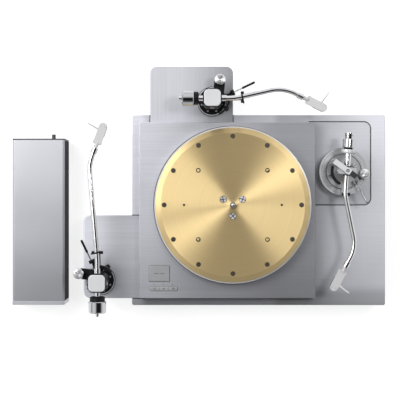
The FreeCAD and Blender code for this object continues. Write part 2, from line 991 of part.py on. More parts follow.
def make_lever(place, height, angle):
    """A cue lever: a hub on a cross pin, a thin rod and a round grip."""
    half = lever_hub_width / 2
    hub = rod(lever_hub_radius, (0, -half, 0), (0, half, 0))
    hub = hub.cut(rod(lever_pin_radius + running_fit, (0, -half, 0), (0, half, 0)))
    tilt = math.radians(lever_rise)

    def at(distance):
        return (distance * math.cos(tilt), 0, distance * math.sin(tilt))

    arm = rod(lever_rod_radius, at(lever_hub_radius - 1.0), at(lever_reach - lever_grip_length + 1.0))
    grip = rod(lever_grip_radius, at(lever_reach - lever_grip_length), at(lever_reach))
    return lever_frame(joined(hub, arm, grip), place, height, angle)


def make_lever_bearing(place, height, angle, floor):
    """A cheek on each side of the lever's hub, with the pin between them."""
    half = lever_hub_width / 2 + seat_gap
    cheek = 2.0
    width = lever_hub_radius
    pieces = []
    for side in (-1, 1):
        y = sorted((side * half, side * (half + cheek)))
        pieces.append(block((-width, width), y, (floor - height, width)))
    base_z = (floor - height, -lever_hub_radius - seat_gap * 3)
    pieces.append(block((-width, width), (-half - cheek, half + cheek), base_z))
    pieces.append(rod(lever_pin_radius, (0, -half - cheek / 2, 0), (0, half + cheek / 2, 0)))
    return lever_frame(joined(*pieces), place, height, angle)


# Pillar arms

pillar_head_bottom = panel_top + flange_height + collar_height + seat_gap
pillar_head_top = pillar_head_bottom + pillar_head_height
yoke_bottom = pillar_head_top + seat_gap
yoke_floor_top = yoke_bottom + yoke_floor_height
yoke_roof_bottom = arm_axis_height + block_height / 2 + yoke_roof
yoke_top = yoke_roof_bottom + yoke_roof
bracket_z = (pillar_head_top - bracket_thickness, pillar_head_top)
pipe_bottom = arm_axis_height - long_pipe_radius
pillar_bottom = pillar_head_bottom - pillar_grip - pillar_arm_travel
lift_top = pipe_bottom - lift_clearance
lever_height = pillar_head_top + lever_share * (arm_axis_height - pillar_head_top)
tail_sizes = (tail_radius, tail_neck, thread_radius, tail_length)
block_sizes = (block_length, block_width, block_height)


def make_pillar_base():
    bore = pillar_radius + running_fit
    top = panel_top + flange_height
    profile = [
        (bore, board_bottom + seat_gap),
        (stem_radius, board_bottom + seat_gap),
        (stem_radius, panel_top),
        (flange_radius, panel_top),
        (flange_radius, top - edge_bevel),
        (flange_radius - edge_bevel, top),
        (collar_radius, top),
        (collar_radius, top + collar_height),
        (bore, top + collar_height),
    ]
    return turned(profile)


def pipe_offset(route, distance):
    """How far the pipe's middle lies to the left of the arm's axis, at a distance from the pivot."""
    first_radius = route[1][0]
    first_turn = route[2][0]
    past = distance - route[0][0]
    if past <= 0:
        return 0.0
    arc_end = first_radius * math.sin(math.radians(first_turn))
    if past <= arc_end:
        return first_radius - math.sqrt(first_radius ** 2 - past ** 2)
    slope = math.tan(math.radians(first_turn))
    return first_radius * (1 - math.cos(math.radians(first_turn))) + (past - arc_end) * slope


def make_rest(route, reach, radius, inner, outer, post_bottom):
    """A saddle under the pipe with a lip on its outer side, on a post."""
    across = pipe_offset(route, reach)
    saddle_top = arm_axis_height - radius - cradle_clearance
    x = (reach - rest_width / 2, reach + rest_width / 2)
    saddle = block(x, (across - inner, across + outer), (saddle_top - rest_lip, saddle_top))
    lip = block(x, (across + outer - rest_lip, across + outer), (saddle_top - rest_lip, arm_axis_height))
    post = drum(rest_width / 2, (post_bottom, saddle_top - rest_lip), (reach, across))
    return [saddle, lip, post], (reach, across)


def make_pillar(route):
    bore = yoke_shaft_radius + running_fit
    profile = [
        (bore, pillar_bottom),
        (pillar_radius, pillar_bottom),
        (pillar_radius, pillar_head_bottom),
        (pillar_head_radius, pillar_head_bottom),
        (pillar_head_radius, pillar_head_top),
        (bore, pillar_head_top),
    ]
    head = turned(profile)
    rest_pieces, rest_at = make_rest(route, rest_reach, long_pipe_radius,
                                     rest_inner, rest_outer, bracket_z[0])
    rest_bar = bar(polar(pillar_head_radius - 4.0, 0), rest_at, rest_width, bracket_z)
    knob_boss = drum(knob_shaft_radius * 2, (bracket_z[0], bracket_z[1] + 4.0), knob_place)
    knob_bar = bar((4.0, pillar_head_radius - 6.0), knob_place, rest_width * 1.5, bracket_z)
    stem_at = polar(lift_radius, lift_stem_angle)
    stem_boss = drum(lift_stem_radius * 2, (bracket_z[0] - 8.0, bracket_z[1] + 4.0), stem_at)
    stem_bar = bar(polar(pillar_head_radius - 5.0, lift_stem_angle), stem_at, rest_width, bracket_z)
    bearing = make_lever_bearing(lever_place, lever_height, lever_angle, bracket_z[0])
    lever_bar = bar(polar(pillar_head_radius - 5.0, 20), lever_place, rest_width, bracket_z)
    bars = [rest_bar, knob_bar, stem_bar, lever_bar]
    pillar = joined(head, *bars, *rest_pieces, knob_boss, stem_boss, bearing)
    pillar = pillar.cut(drum(bore, (pillar_bottom, pillar_head_top), (0, 0)))
    knob_bore = (bracket_z[0], bracket_z[1] + 4.0)
    pillar = pillar.cut(drum(knob_shaft_radius + running_fit, knob_bore, knob_place))
    stem_bore = (bracket_z[0] - 8.0, bracket_z[1] + 4.0)
    return pillar.cut(drum(lift_stem_radius + running_fit, stem_bore, stem_at))


def make_yoke():
    """The housing that turns on the pillar and holds the tilt pins."""
    floor = cut_square(yoke_half, yoke_corner_cut, (yoke_bottom, yoke_floor_top))
    body = cut_square(yoke_half, yoke_corner_cut, (yoke_floor_top, yoke_top))
    inner = yoke_half - yoke_cheek
    window = block((-yoke_half, yoke_half), (-inner, inner), (yoke_floor_top, yoke_roof_bottom))
    shaft = drum(yoke_shaft_radius, (pillar_bottom, yoke_bottom))
    pins = []
    for side in (-1, 1):
        outer = (0, side * (inner + 1.0), arm_axis_height)
        tip = (0, side * (block_width / 2 - 2.5), arm_axis_height)
        pins.append(rod(tilt_pin_radius, outer, tip))
    return joined(floor, body.cut(window), shaft, *pins)


def make_cap():
    side = (-cap_half, cap_half)
    cap = slab(side, side, (yoke_top, yoke_top + cap_height), (cap_corner,) * 4)
    return bevelled(cap, yoke_top + cap_height, edge_bevel)


def make_pillar_weight(radius):
    bore = thread_radius + running_fit
    start = -weight_start
    shoulder = start - weight_taper
    end = shoulder - weight_drum
    profile = [
        (radius * 0.5, start),
        (radius * 0.9, start - weight_taper * 0.5),
        (radius * 0.9, shoulder),
        (radius, shoulder),
        (radius, end),
    ]
    return bored_drum(profile, bore)


def lift_span(swing):
    """The platform's arc: it carries the arm from the record's edge to its last groove."""
    return (-swing - 4.0, -4.0)


def make_pillar_lift(swing):
    bar_z = (lift_top - lift_bar_height, lift_top)
    platform = arc_bar(lift_radius, lift_bar_width, lift_span(swing), bar_z)
    stem_bottom = bracket_z[0] - 8.0
    stem = drum(lift_stem_radius, (stem_bottom, bar_z[0]), polar(lift_radius, lift_stem_angle))
    return joined(platform, stem)


def make_pillar_pipe(route):
    """The pipe with the thicker sleeve that it leaves its bearing block through."""
    pipe, end, heading = make_pipe(route, long_pipe_radius, block_sizes, tail_sizes, 3.0)
    sleeve = along_arm([
        (0, block_length / 2 - 1.0),
        (root_sleeve_radius, block_length / 2 - 1.0),
        (root_sleeve_radius, root_sleeve_end),
        (0, root_sleeve_end),
    ])
    return joined(pipe, sleeve), end, heading


def pillar_arm(name, weight_size):
    """Every piece of one pillar arm, in the deck's frame."""
    route = routes[name]
    pipe, end, heading = make_pillar_pipe(route)
    reach, angle = stylus_reach(end, heading)
    swing = swing_range(name, reach, angle)
    knob_z = (bracket_z[1] + 4.0 + seat_gap, bracket_z[1] + 4.0 + knob_height)
    pieces = {
        "base": make_pillar_base(),
        "pillar": make_pillar(route),
        "yoke": make_yoke(),
        "cap": make_cap(),
        "pipe": pipe,
        "headshell": placed(make_headshell(), end, heading),
        "cartridge": placed(make_cartridge(), end, heading),
        "counterweight": make_pillar_weight(weight_size),
        "lift": make_pillar_lift(swing),
        "cue_lever": make_lever(lever_place, lever_height, lever_angle),
        "antiskate_knob": make_knob(knob_place, knob_radius, knob_z, bracket_z[0]),
    }
    arm_sizes[name] = {"reach": reach, "swing": swing, "tilt_down": tilt_down(reach)}
    for piece, shape in pieces.items():
        write(name + "_arm_" + piece, placed(shape, pivots[name], headings[name]))


# Right arm. Its fixed pieces keep the deck's directions, with the pivot at the origin

right_flange_top = panel_top + right_flange_height
ring_bottom = right_flange_top + seat_gap
ring_top = ring_bottom + ring_height
stage_top = ring_top + stage_rise
disc_bottom = stage_top - stage_disc_thickness
column_bottom = disc_bottom - stage_column_grip - right_arm_travel
lobe_z = (ring_top + lobe_clearance, ring_top + lobe_clearance + lobe_thickness)
gimbal_base = arm_axis_height - gimbal_depth
gimbal_roof_top = arm_axis_height + right_block_height / 2 + yoke_roof + gimbal_roof
bridge_bottom = gimbal_roof_top + seat_gap
bridge_top = bridge_bottom + bridge_thickness
s_pipe_bottom = arm_axis_height - s_pipe_radius
right_lift_top = s_pipe_bottom - lift_clearance
right_lever_height = stage_top + right_lever_share * (arm_axis_height - stage_top)
right_cheek_inner = gimbal_width / 2 - gimbal_cheek


def make_right_base():
    bore = stage_column_radius + running_fit
    collar_top = right_flange_top + ring_collar_height
    profile = [
        (bore, board_bottom + seat_gap),
        (right_stem_radius, board_bottom + seat_gap),
        (right_stem_radius, panel_top),
        (ring_radius, panel_top),
        (ring_radius, right_flange_top),
        (ring_collar_radius, right_flange_top),
        (ring_collar_radius, collar_top),
        (bore, collar_top),
    ]
    return turned(profile)


def make_height_ring():
    inner = ring_collar_radius + running_fit
    step = stage_top - stage_disc_thickness - stage_disc_gap
    profile = [
        (inner, ring_bottom),
        (ring_radius, ring_bottom),
        (ring_radius, ring_top),
        (ring_inner_radius, ring_top),
        (ring_inner_radius, step),
        (inner, step),
    ]
    return turned(profile)


def make_bridge():
    """A bar over the gimbal, on a post at one side and with a sloping nose at the other."""
    inner = bridge_reach - bridge_post
    outline = [
        (bridge_reach, disc_bottom),
        (bridge_reach, bridge_top),
        (-bridge_slope_start, bridge_top),
        (-bridge_slope_end, bridge_top - bridge_slope_drop),
        (-bridge_slope_end, bridge_bottom),
        (inner, bridge_bottom),
        (inner, disc_bottom),
    ]
    points = [V(along, -bridge_width / 2, height) for along, height in outline]
    bridge = Part.Face(Part.makePolygon(points + points[:1])).extrude(V(0, bridge_width, 0))
    return placed(bridge, (0, 0), bridge_angle)


def make_stage():
    """The part of the right arm's base that the height ring lifts, with its bridge."""
    bore = gimbal_shaft_radius + running_fit
    disc_radius = ring_inner_radius - stage_disc_gap
    profile = [
        (bore, column_bottom),
        (stage_column_radius, column_bottom),
        (stage_column_radius, disc_bottom),
        (disc_radius, disc_bottom),
        (disc_radius, stage_top),
        (bore, stage_top),
    ]
    stage = turned(profile)
    boss = drum(bridge_boss_radius, (bridge_bottom, bridge_top))
    knob_root = polar(ring_inner_radius * 0.6, -6)
    knob_bar = bar(knob_root, right_knob_offset, right_knob_radius, lobe_z)
    knob_post = drum(right_knob_radius / 2, (stage_top - 1.0, lobe_z[1]), knob_root)
    rest_pieces, rest_at = make_rest(routes["right"], right_rest_reach, s_pipe_radius,
                                     right_rest_inner, right_rest_outer, lobe_z[0])
    rest_bar = bar((ring_inner_radius * 0.75, 0), rest_at, rest_width, lobe_z)
    rest_root = drum(rest_width / 2, (stage_top - 1.0, lobe_z[1]), (ring_inner_radius * 0.75, 0))
    rest = [placed(piece, (0, 0), right_heading) for piece in rest_pieces + [rest_bar, rest_root]]
    bearing = make_lever_bearing(right_lever_offset, right_lever_height,
                                 right_lever_angle, stage_top - 1.0)
    stem_at = polar(right_lift_radius, right_lift_stem_angle)
    boss_z = (disc_bottom, stage_top + 6.0)
    stem_boss = drum(lift_stem_radius * 1.8, boss_z, stem_at)
    screw = drum(lift_screw_radius, (disc_bottom, stage_top + lift_screw_height), lift_screw_offset)
    stage = joined(stage, make_bridge(), boss, knob_bar, knob_post, *rest, bearing, stem_boss, screw)
    stage = stage.cut(drum(bore, (column_bottom, stage_top), (0, 0)))
    stage = stage.cut(drum(lift_stem_radius + running_fit, boss_z, stem_at))
    stage = stage.cut(drum(knob_shaft_radius + running_fit, lobe_z, right_knob_offset))
    return stage.cut(drum(gimbal_top_pin_radius + running_fit, (bridge_bottom, bridge_top)))


def make_gimbal():
    """The upright yoke that turns between the column and the bridge."""
    half_length = gimbal_length / 2
    half_width = gimbal_width / 2
    inner = right_cheek_inner
    floor_top = gimbal_base + gimbal_floor
    roof_z = (gimbal_roof_top - gimbal_roof, gimbal_roof_top)
    x = (-half_length, half_length)
    floor = block(x, (-half_width, half_width), (gimbal_base, floor_top))
    roof = block(x, (-half_width, half_width), roof_z)
    cheeks = []
    for side in (-1, 1):
        y = sorted((side * inner, side * half_width))
        cheeks.append(block(x, y, (gimbal_base, gimbal_roof_top)))
    shaft = drum(gimbal_shaft_radius, (column_bottom, gimbal_base))
    boss = drum(gimbal_shaft_radius * 2, (stage_top + seat_gap, gimbal_base))
    top_pin = drum(gimbal_top_pin_radius, (gimbal_roof_top, bridge_top - 1.0))
    pins = []
    for side in (-1, 1):
        outer = (0, side * (inner + 1.0), arm_axis_height)
        tip = (0, side * (block_width / 2 - 2.5), arm_axis_height)
        pins.append(rod(tilt_pin_radius, outer, tip))
    return joined(floor, roof, *cheeks, shaft, boss, top_pin, *pins)


def make_force_dial():
    bore = right_thread_radius + running_fit
    start = -right_tail_neck
    end = start - dial_width
    profile = [
        (dial_radius - 2.0, start),
        (dial_radius, start - 1.5),
        (dial_radius, end),
    ]
    return bored_drum(profile, bore)


def make_right_weight():
    bore = right_thread_radius + running_fit
    start = -right_tail_neck - dial_width - seat_gap
    drum_end = start - right_weight_length
    stub_end = drum_end - right_stub_length
    profile = [
        (right_weight_radius, start),
        (right_weight_radius, drum_end),
        (right_stub_radius, drum_end),
        (right_stub_radius, stub_end),
    ]
    return bored_drum(profile, bore)


def make_right_lift():
    bar_z = (right_lift_top - lift_bar_height, right_lift_top)
    platform = arc_bar(right_lift_radius, right_lift_width, right_lift_span, bar_z)
    stem_at = polar(right_lift_radius, right_lift_stem_angle)
    stem_bottom = disc_bottom + arm_lift_travel + seat_gap
    stem = drum(lift_stem_radius, (stem_bottom, bar_z[0]), stem_at)
    return joined(platform, stem)


def right_arm():
    sizes = (right_block_length, block_width, right_block_height)
    thread_end = right_tail_neck + dial_width + seat_gap + right_weight_length + right_stub_length - 2.0
    tail = (right_tail_radius, right_tail_neck - seat_gap, right_thread_radius, thread_end)
    pipe, end, heading = make_pipe(routes["right"], s_pipe_radius, sizes, tail, 3.0)
    reach, angle = stylus_reach(end, heading)
    swing = swing_range("right", reach, angle)
    knob_z = (lobe_z[1] + seat_gap, lobe_z[1] + right_knob_height)
    fixed = {
        "base": make_right_base(),
        "height_ring": make_height_ring(),
        "stage": make_stage(),
        "lift": make_right_lift(),
        "cue_lever": make_lever(right_lever_offset, right_lever_height, right_lever_angle),
        "antiskate_knob": make_knob(right_knob_offset, right_knob_radius, knob_z, lobe_z[0]),
    }
    turning = {
        "gimbal": make_gimbal(),
        "pipe": pipe,
        "headshell": placed(make_headshell(), end, heading),
        "cartridge": placed(make_cartridge(), end, heading),
        "counterweight": make_right_weight(),
        "force_dial": make_force_dial(),
    }
    arm_sizes["right"] = {"reach": reach, "swing": swing, "tilt_down": tilt_down(reach)}
    for piece, shape in fixed.items():
        write("right_arm_" + piece, placed(shape, right_pivot))
    for piece, shape in turning.items():
        write("right_arm_" + piece, placed(shape, right_pivot, right_heading))


# Control box

def control_point(place):
    """A place on the box's front or back, from its lower left corner on the table."""
    return control_left + place[0], place[1]


def along_depth(radius, place, y):
    x, z = control_point(place)
    return rod(radius, (x, y[0], z), (x, y[1], z))


def make_control_case():
    y = (front_panel_thickness, control_depth - rear_panel_thickness)
    low = control_foot_height
    outline = [
        (control_left, low),
        (control_right, low),
        (control_right, control_height - control_bevel),
        (control_right - control_bevel, control_height),
        (control_left + control_bevel, control_height),
        (control_left, control_height - control_bevel),
    ]
    points = [V(x, y[0], z) for x, z in outline]
    case = Part.Face(Part.makePolygon(points + points[:1])).extrude(V(0, y[1] - y[0], 0))
    wall = control_wall
    hollow = block(
        (control_left + wall, control_right - wall),
        y,
        (low + wall, control_height - control_bevel - wall),
    )
    return case.cut(hollow)


def make_front_panel():
    panel = block((control_left, control_right), (0, front_panel_thickness),
                  (control_foot_height, control_height))
    front = []
    for edge in panel.Edges:
        if all(abs(vertex.Y) < 1e-6 for vertex in edge.Vertexes):
            front.append(edge)
    panel = panel.makeChamfer(edge_bevel, front)
    hole = power_button_radius + loose_fit / 2
    panel = panel.cut(along_depth(hole, power_button_place, (0, front_panel_thickness)))
    x, z = control_point(window_place)
    span_x = (x - window_size[0] / 2, x + window_size[0] / 2)
    span_z = (z - window_size[1] / 2, z + window_size[1] / 2)
    return panel.cut(block(span_x, (0, window_thickness), span_z))


def make_window():
    x, z = control_point(window_place)
    span_x = (x - window_size[0] / 2 + running_fit, x + window_size[0] / 2 - running_fit)
    span_z = (z - window_size[1] / 2 + running_fit, z + window_size[1] / 2 - running_fit)
    return block(span_x, (seat_gap, window_thickness), span_z)


def make_power_button():
    """A round cap with a wider collar behind the panel."""
    collar = (front_panel_thickness + seat_gap, front_panel_thickness + seat_gap + button_flange)
    cap_depth = (-power_button_travel - power_button_proud, collar[0])
    cap = along_depth(power_button_radius, power_button_place, cap_depth)
    return joined(cap, along_depth(power_button_radius + button_flange, power_button_place, collar))


def make_rear_panel():
    """The back plate with its mains inlet, arm socket and earth terminal, all without leads."""
    inner = control_depth - rear_panel_thickness
    panel = block((control_left, control_right), (inner, control_depth),
                  (control_foot_height, control_height - control_bevel))
    x, z = control_point(inlet_place)
    half_x = inlet_size[0] / 2
    half_z = inlet_size[1] / 2
    inlet_y = (control_depth - inlet_depth - inlet_wall, control_depth)
    cup = block((x - half_x - inlet_wall, x + half_x + inlet_wall), inlet_y,
                (z - half_z - inlet_wall, z + half_z + inlet_wall))
    socket_y = (control_depth - socket_depth, control_depth + socket_wall)
    socket = along_depth(socket_radius + socket_wall, socket_place, socket_y)
    post_y = (control_depth, control_depth + terminal_length)
    terminal = along_depth(terminal_radius, terminal_place, post_y)
    panel = joined(panel, cup, socket, terminal)
    cavity_y = (control_depth - inlet_depth, control_depth)
    panel = panel.cut(block((x - half_x, x + half_x), cavity_y, (z - half_z, z + half_z)))
    bore_y = (control_depth - socket_depth + socket_wall, control_depth + socket_wall)
    return panel.cut(along_depth(socket_radius, socket_place, bore_y))


# Writing the pieces

arm_sizes = {}


def write(name, shape):
    if isinstance(shape, list):
        shape = Part.makeCompound(shape)
    moved = shape.copy()
    moved.translate(V(-middle[0], -middle[1], 0))
    moved.exportStep("parts/" + name + ".step")


write("plinth_base", make_plinth_base())
write("plinth_top_panel", make_plinth_panel())
write("plinth_feet", make_feet())
write("rubber_feet", make_rubber_feet())
write("arm_boards", [make_board(name) for name in boards])
write("motor_chassis", make_chassis())
write("motor_top_plate", make_unit_plate())
write("motor_stator", make_stator())
write("motor_rotor", make_rotor())
write("bearing_sleeve", make_bearing_sleeve())
write("key_board", make_key_board())
for button_name, low_corner, high_corner in button_rectangles():
    write(button_name, make_button(button_name, low_corner, high_corner))
write("platter_body", make_platter_body())
write("platter_brass_top", make_platter_brass())
write("platter_weights", make_platter_weights())
write("platter_screws", make_platter_screws())
write("spindle", make_spindle())
right_arm()
pillar_arm("rear", rear_weight_radius)
pillar_arm("left", left_weight_radius)
write("control_case", make_control_case())
write("control_front_panel", make_front_panel())
write("control_display_window", make_window())
write("control_power_button", make_power_button())
write("control_rear_panel", make_rear_panel())
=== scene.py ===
import json
import math

import bmesh
import bpy
from mathutils import Matrix, Vector


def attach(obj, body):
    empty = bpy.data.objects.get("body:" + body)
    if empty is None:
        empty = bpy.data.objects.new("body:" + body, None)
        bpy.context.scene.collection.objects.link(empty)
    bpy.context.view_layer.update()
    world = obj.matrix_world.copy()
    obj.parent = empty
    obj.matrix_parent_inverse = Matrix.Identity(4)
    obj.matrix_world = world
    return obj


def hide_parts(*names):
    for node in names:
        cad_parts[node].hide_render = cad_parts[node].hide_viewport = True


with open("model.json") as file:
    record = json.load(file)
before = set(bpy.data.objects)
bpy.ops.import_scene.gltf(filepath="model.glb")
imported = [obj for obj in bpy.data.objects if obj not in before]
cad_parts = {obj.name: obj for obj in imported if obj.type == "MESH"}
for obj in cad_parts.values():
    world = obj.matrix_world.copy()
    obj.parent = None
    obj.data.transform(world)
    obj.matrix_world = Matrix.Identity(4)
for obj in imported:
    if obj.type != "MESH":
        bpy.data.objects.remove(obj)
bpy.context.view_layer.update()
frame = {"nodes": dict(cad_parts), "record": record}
MM = 0.001

# Places that repeat the part's own, in millimetres. X and Y are measured from the middle of the
# whole group, and heights from the floor.

AXIS = 170.0
PLATE_TOP = 117.0
PLATTER = (70.5, -31.6)
ARMS = {
    "right": {"pivot": (300.5, 37.4), "heading": -94.0},
    "rear": {"pivot": (28.2, 184.5), "heading": 0.0},
    "left": {"pivot": (-204.7, -189.3), "heading": 90.0},
}
# Each pipe's straight lengths, then the radii and turns of the bends between them
ROUTES = {
    "right": ((38.5, 76.0, 21.0), (72.0, 66.0), (15.4, -40.0)),
    "rear": ((30.6, 59.6, 18.0), (132.0, 76.0), (12.5, -39.0)),
    "left": ((33.0, 159.0, 17.0), (323.0, 88.0), (5.0, -25.0)),
}


# Materials

class Nodes:
    """Helpers that add nodes to a material or to the world."""

    def __init__(self, tree):
        self.nodes = tree.nodes
        self.links = tree.links

    def node(self, kind, **settings):
        node = self.nodes.new(kind)
        for key, value in settings.items():
            setattr(node, key, value)
        return node

    def plug(self, socket, value):
        """Links a socket to another node's output, or gives it a value of its own."""
        if isinstance(value, bpy.types.NodeSocket):
            self.links.new(value, socket)
        else:
            socket.default_value = value

    def math(self, operation, one, two):
        node = self.node("ShaderNodeMath", operation=operation)
        self.plug(node.inputs[0], one)
        self.plug(node.inputs[1], two)
        return node.outputs[0]

    def vector_math(self, operation, one, two=None, output="Vector"):
        node = self.node("ShaderNodeVectorMath", operation=operation)
        self.plug(node.inputs[0], one)
        if two:
            self.plug(node.inputs[1], two)
        return node.outputs[output]

    def mix(self, factor, one, two, blend="MIX"):
        node = self.node("ShaderNodeMix", data_type="RGBA", blend_type=blend)
        self.plug(node.inputs[0], factor)
        self.plug(node.inputs[6], one)
        self.plug(node.inputs[7], two)
        return node.outputs[2]

    def blend(self, one, two, share):
        """The sum of two patterns: the first by its share, the second by the rest."""
        first = self.math("MULTIPLY", one, share)
        return self.math("ADD", first, self.math("MULTIPLY", two, 1.0 - share))

    def spread(self, value, low, high, start, end):
        """Low where the value is at start, high where it is at end."""
        node = self.node("ShaderNodeMapRange")
        for name, limit in (("From Min", start), ("From Max", end), ("To Min", low), ("To Max", high)):
            node.inputs[name].default_value = limit
        self.plug(node.inputs["Value"], value)
        return node.outputs["Result"]

    def tones(self, value, stops, blue=1.0):
        """Greys, bluer if asked, eased between (place, tone) stops along a value from 0 to 1."""
        node = self.node("ShaderNodeValToRGB")
        node.color_ramp.interpolation = "EASE"
        elements = node.color_ramp.elements
        while len(elements) < len(stops):
            elements.new(0.5)
        for index, (where, tone) in enumerate(stops):
            elements[index].position = where
            elements[index].color = (tone, tone, min(tone * blue, max(tone, 1.0)), 1.0)
        self.plug(node.inputs[0], value)
        return node.outputs[0]

    def axes(self, vector):
        """The X, Y and Z outputs of a vector."""
        node = self.node("ShaderNodeSeparateXYZ")
        self.plug(node.inputs[0], vector)
        return node.outputs

    def vector(self, *parts):
        """A vector from up to three numbers or patterns."""
        node = self.node("ShaderNodeCombineXYZ")
        for socket, part in zip(node.inputs, parts):
            self.plug(socket, part)
        return node.outputs[0]


class Finish(Nodes):
    """A material, with helpers for its patterns."""

    def __init__(self, name, colour, metallic, roughness):
        self.material = bpy.data.materials.new(name)
        self.material.use_nodes = True
        super().__init__(self.material.node_tree)
        self.shader = self.nodes["Principled BSDF"]
        self.colour = colour
        self.roughness = roughness
        self.set("Base Color", (*colour, 1.0))
        self.set("Metallic", metallic)
        self.set("Roughness", roughness)

    def set(self, name, value):
        self.plug(self.shader.inputs[name], value)

    def coordinate(self, scale=(1, 1, 1), place=(0, 0, 0)):
        mapping = self.node("ShaderNodeMapping")
        self.plug(mapping.inputs["Vector"], self.node("ShaderNodeTexCoord").outputs["Object"])
        self.plug(mapping.inputs["Location"], place)
        self.plug(mapping.inputs["Scale"], scale)
        return mapping.outputs["Vector"]

    def noise(self, scale, detail, vector=None, roughness=0.5):
        node = self.node("ShaderNodeTexNoise")
        for name, value in (("Scale", scale), ("Detail", detail), ("Roughness", roughness)):
            node.inputs[name].default_value = value
        self.plug(node.inputs["Vector"], vector if vector else self.coordinate())
        return node.outputs["Fac"]

    def bump(self, height, strength):
        node = self.node("ShaderNodeBump")
        self.plug(node.inputs["Strength"], strength)
        self.plug(node.inputs["Distance"], 0.0001)
        self.plug(node.inputs["Height"], height)
        self.set("Normal", node.outputs["Normal"])

    def tint(self, pattern, low, high, start=0.35):
        """Shades of the material's own colour, from low to high times it, by a pattern."""
        factor = self.spread(pattern, 0.0, 1.0, start, 1.0 - start)
        dark = [channel * low for channel in self.colour]
        light = [min(1.0, channel * high) for channel in self.colour]
        return self.mix(factor, (*dark, 1.0), (*light, 1.0))

    def uneven(self, pattern, below=0.04, above=0.06):
        """The material's roughness, from below to above it, by a pattern."""
        return self.spread(pattern, self.roughness - below, self.roughness + above, 0.3, 0.7)

    def grain(self, fineness, cloudiness, low, high):
        """A fine grain on a slow cloudiness: the grain, both together, and their tone."""
        fine = self.noise(fineness, 3.0)
        both = self.blend(fine, self.noise(cloudiness, 3.0), 0.5)
        return fine, both, self.tint(both, low, high)

    def painted_light_ramp(self, axis, start, end, stops):
        """Painted light and shade: a soft change of tone along X or Y, from start to end in millimetres.
        """
        along = self.axes(self.coordinate())[axis]
        return self.tones(self.spread(along, 0.0, 1.0, start * MM, end * MM), stops)


def brushed(name, colour, roughness, anisotropy, painted_light_ramps=(), contrast=0.05):
    """Metal brushed in straight lines along X, its tone multiplied by ramps of painted light and shade
    over the plate.
    """
    finish = Finish(name, colour, 0.5, roughness)
    lines = finish.noise(1.0, 3.0, finish.coordinate((6, 900, 900)), 0.6)
    bands = finish.noise(1.0, 2.0, finish.coordinate((3, 260, 260)), 0.55)
    pattern = finish.blend(lines, bands, 0.75)
    tone = finish.tint(pattern, 1.0 - contrast, 1.0 + contrast)
    # Painted light and shade, multiplied into the tone.
    for painted_light_ramp in painted_light_ramps:
        tone = finish.mix(1.0, tone, finish.painted_light_ramp(*painted_light_ramp), "MULTIPLY")
    finish.set("Base Color", tone)
    finish.set("Roughness", finish.uneven(pattern, 0.05, 0.07))
    finish.bump(lines, 0.15)
    finish.set("Anisotropic", anisotropy)
    finish.set("Tangent", finish.vector(0.0, 1.0, 0.0))
    return finish.material


def brushed_boards(name, colour, roughness, anisotropy):
    """The boards of the arms: brushed across, and the rear one lengthwise, with painted light and shade
    over them.
    """
    finish = Finish(name, colour, 0.5, roughness)
    x, y, _ = finish.axes(finish.coordinate())
    limit = 100 * MM
    behind = finish.math("GREATER_THAN", y, limit)
    rear = finish.math("MULTIPLY", behind, finish.math("LESS_THAN", x, limit))

    def lines(fineness, detail):
        across = finish.noise(1.0, detail, finish.coordinate((4, fineness, fineness)), 0.6)
        lengthwise = finish.noise(1.0, detail, finish.coordinate((fineness, 4, fineness)), 0.6)
        node = finish.node("ShaderNodeMix", data_type="FLOAT")
        finish.plug(node.inputs[0], rear)
        finish.plug(node.inputs[2], across)
        finish.plug(node.inputs[3], lengthwise)
        return node.outputs[0]

    fine = lines(900, 3.0)
    pattern = finish.blend(fine, lines(260, 2.0), 0.5)
    tone = finish.tint(pattern, 0.94, 1.05)
    # Painted light and shade: bands along Y and X, and the rear board darker to the right.
    painted_shade_along_y = finish.painted_light_ramp("Y", -228, 143, [(0.0, 0.95), (0.42, 1.05), (0.53, 0.72), (1.0, 0.95)])
    sideways = finish.painted_light_ramp(
        "X", -250, 352, [(0.0, 1.25), (0.18, 0.94), (0.5, 0.9), (0.7, 0.56), (1.0, 1.12)])
    rear_painted_shade = finish.painted_light_ramp("X", -50, 90, [(0.0, 0.96), (1.0, 0.5)])
    tone = finish.mix(1.0, tone, finish.mix(rear, sideways, rear_painted_shade), "MULTIPLY")
    finish.set("Base Color", finish.mix(1.0, tone, painted_shade_along_y, "MULTIPLY"))
    finish.set("Roughness", finish.uneven(pattern, 0.05, 0.07))
    finish.bump(fine, 0.12)
    finish.set("Anisotropic", anisotropy)
    finish.set("Tangent", finish.vector(rear, finish.math("SUBTRACT", 1.0, rear)))
    return finish.material


def satin(name, colour, metallic, roughness, grain=900.0, contrast=0.06, bump=0.05, **sockets):
    """Blasted or painted metal or plastic: a fine grain with a slow cloudiness under it."""
    finish = Finish(name, colour, metallic, roughness)
    fine, both, tone = finish.grain(grain, 14.0, 1.0 - contrast, 1.0 + contrast)
    finish.set("Base Color", tone)
    finish.set("Roughness", finish.uneven(both))
    finish.bump(fine, bump)
    for socket, value in sockets.items():
        finish.set(socket.replace("_", " "), value)
    return finish.material


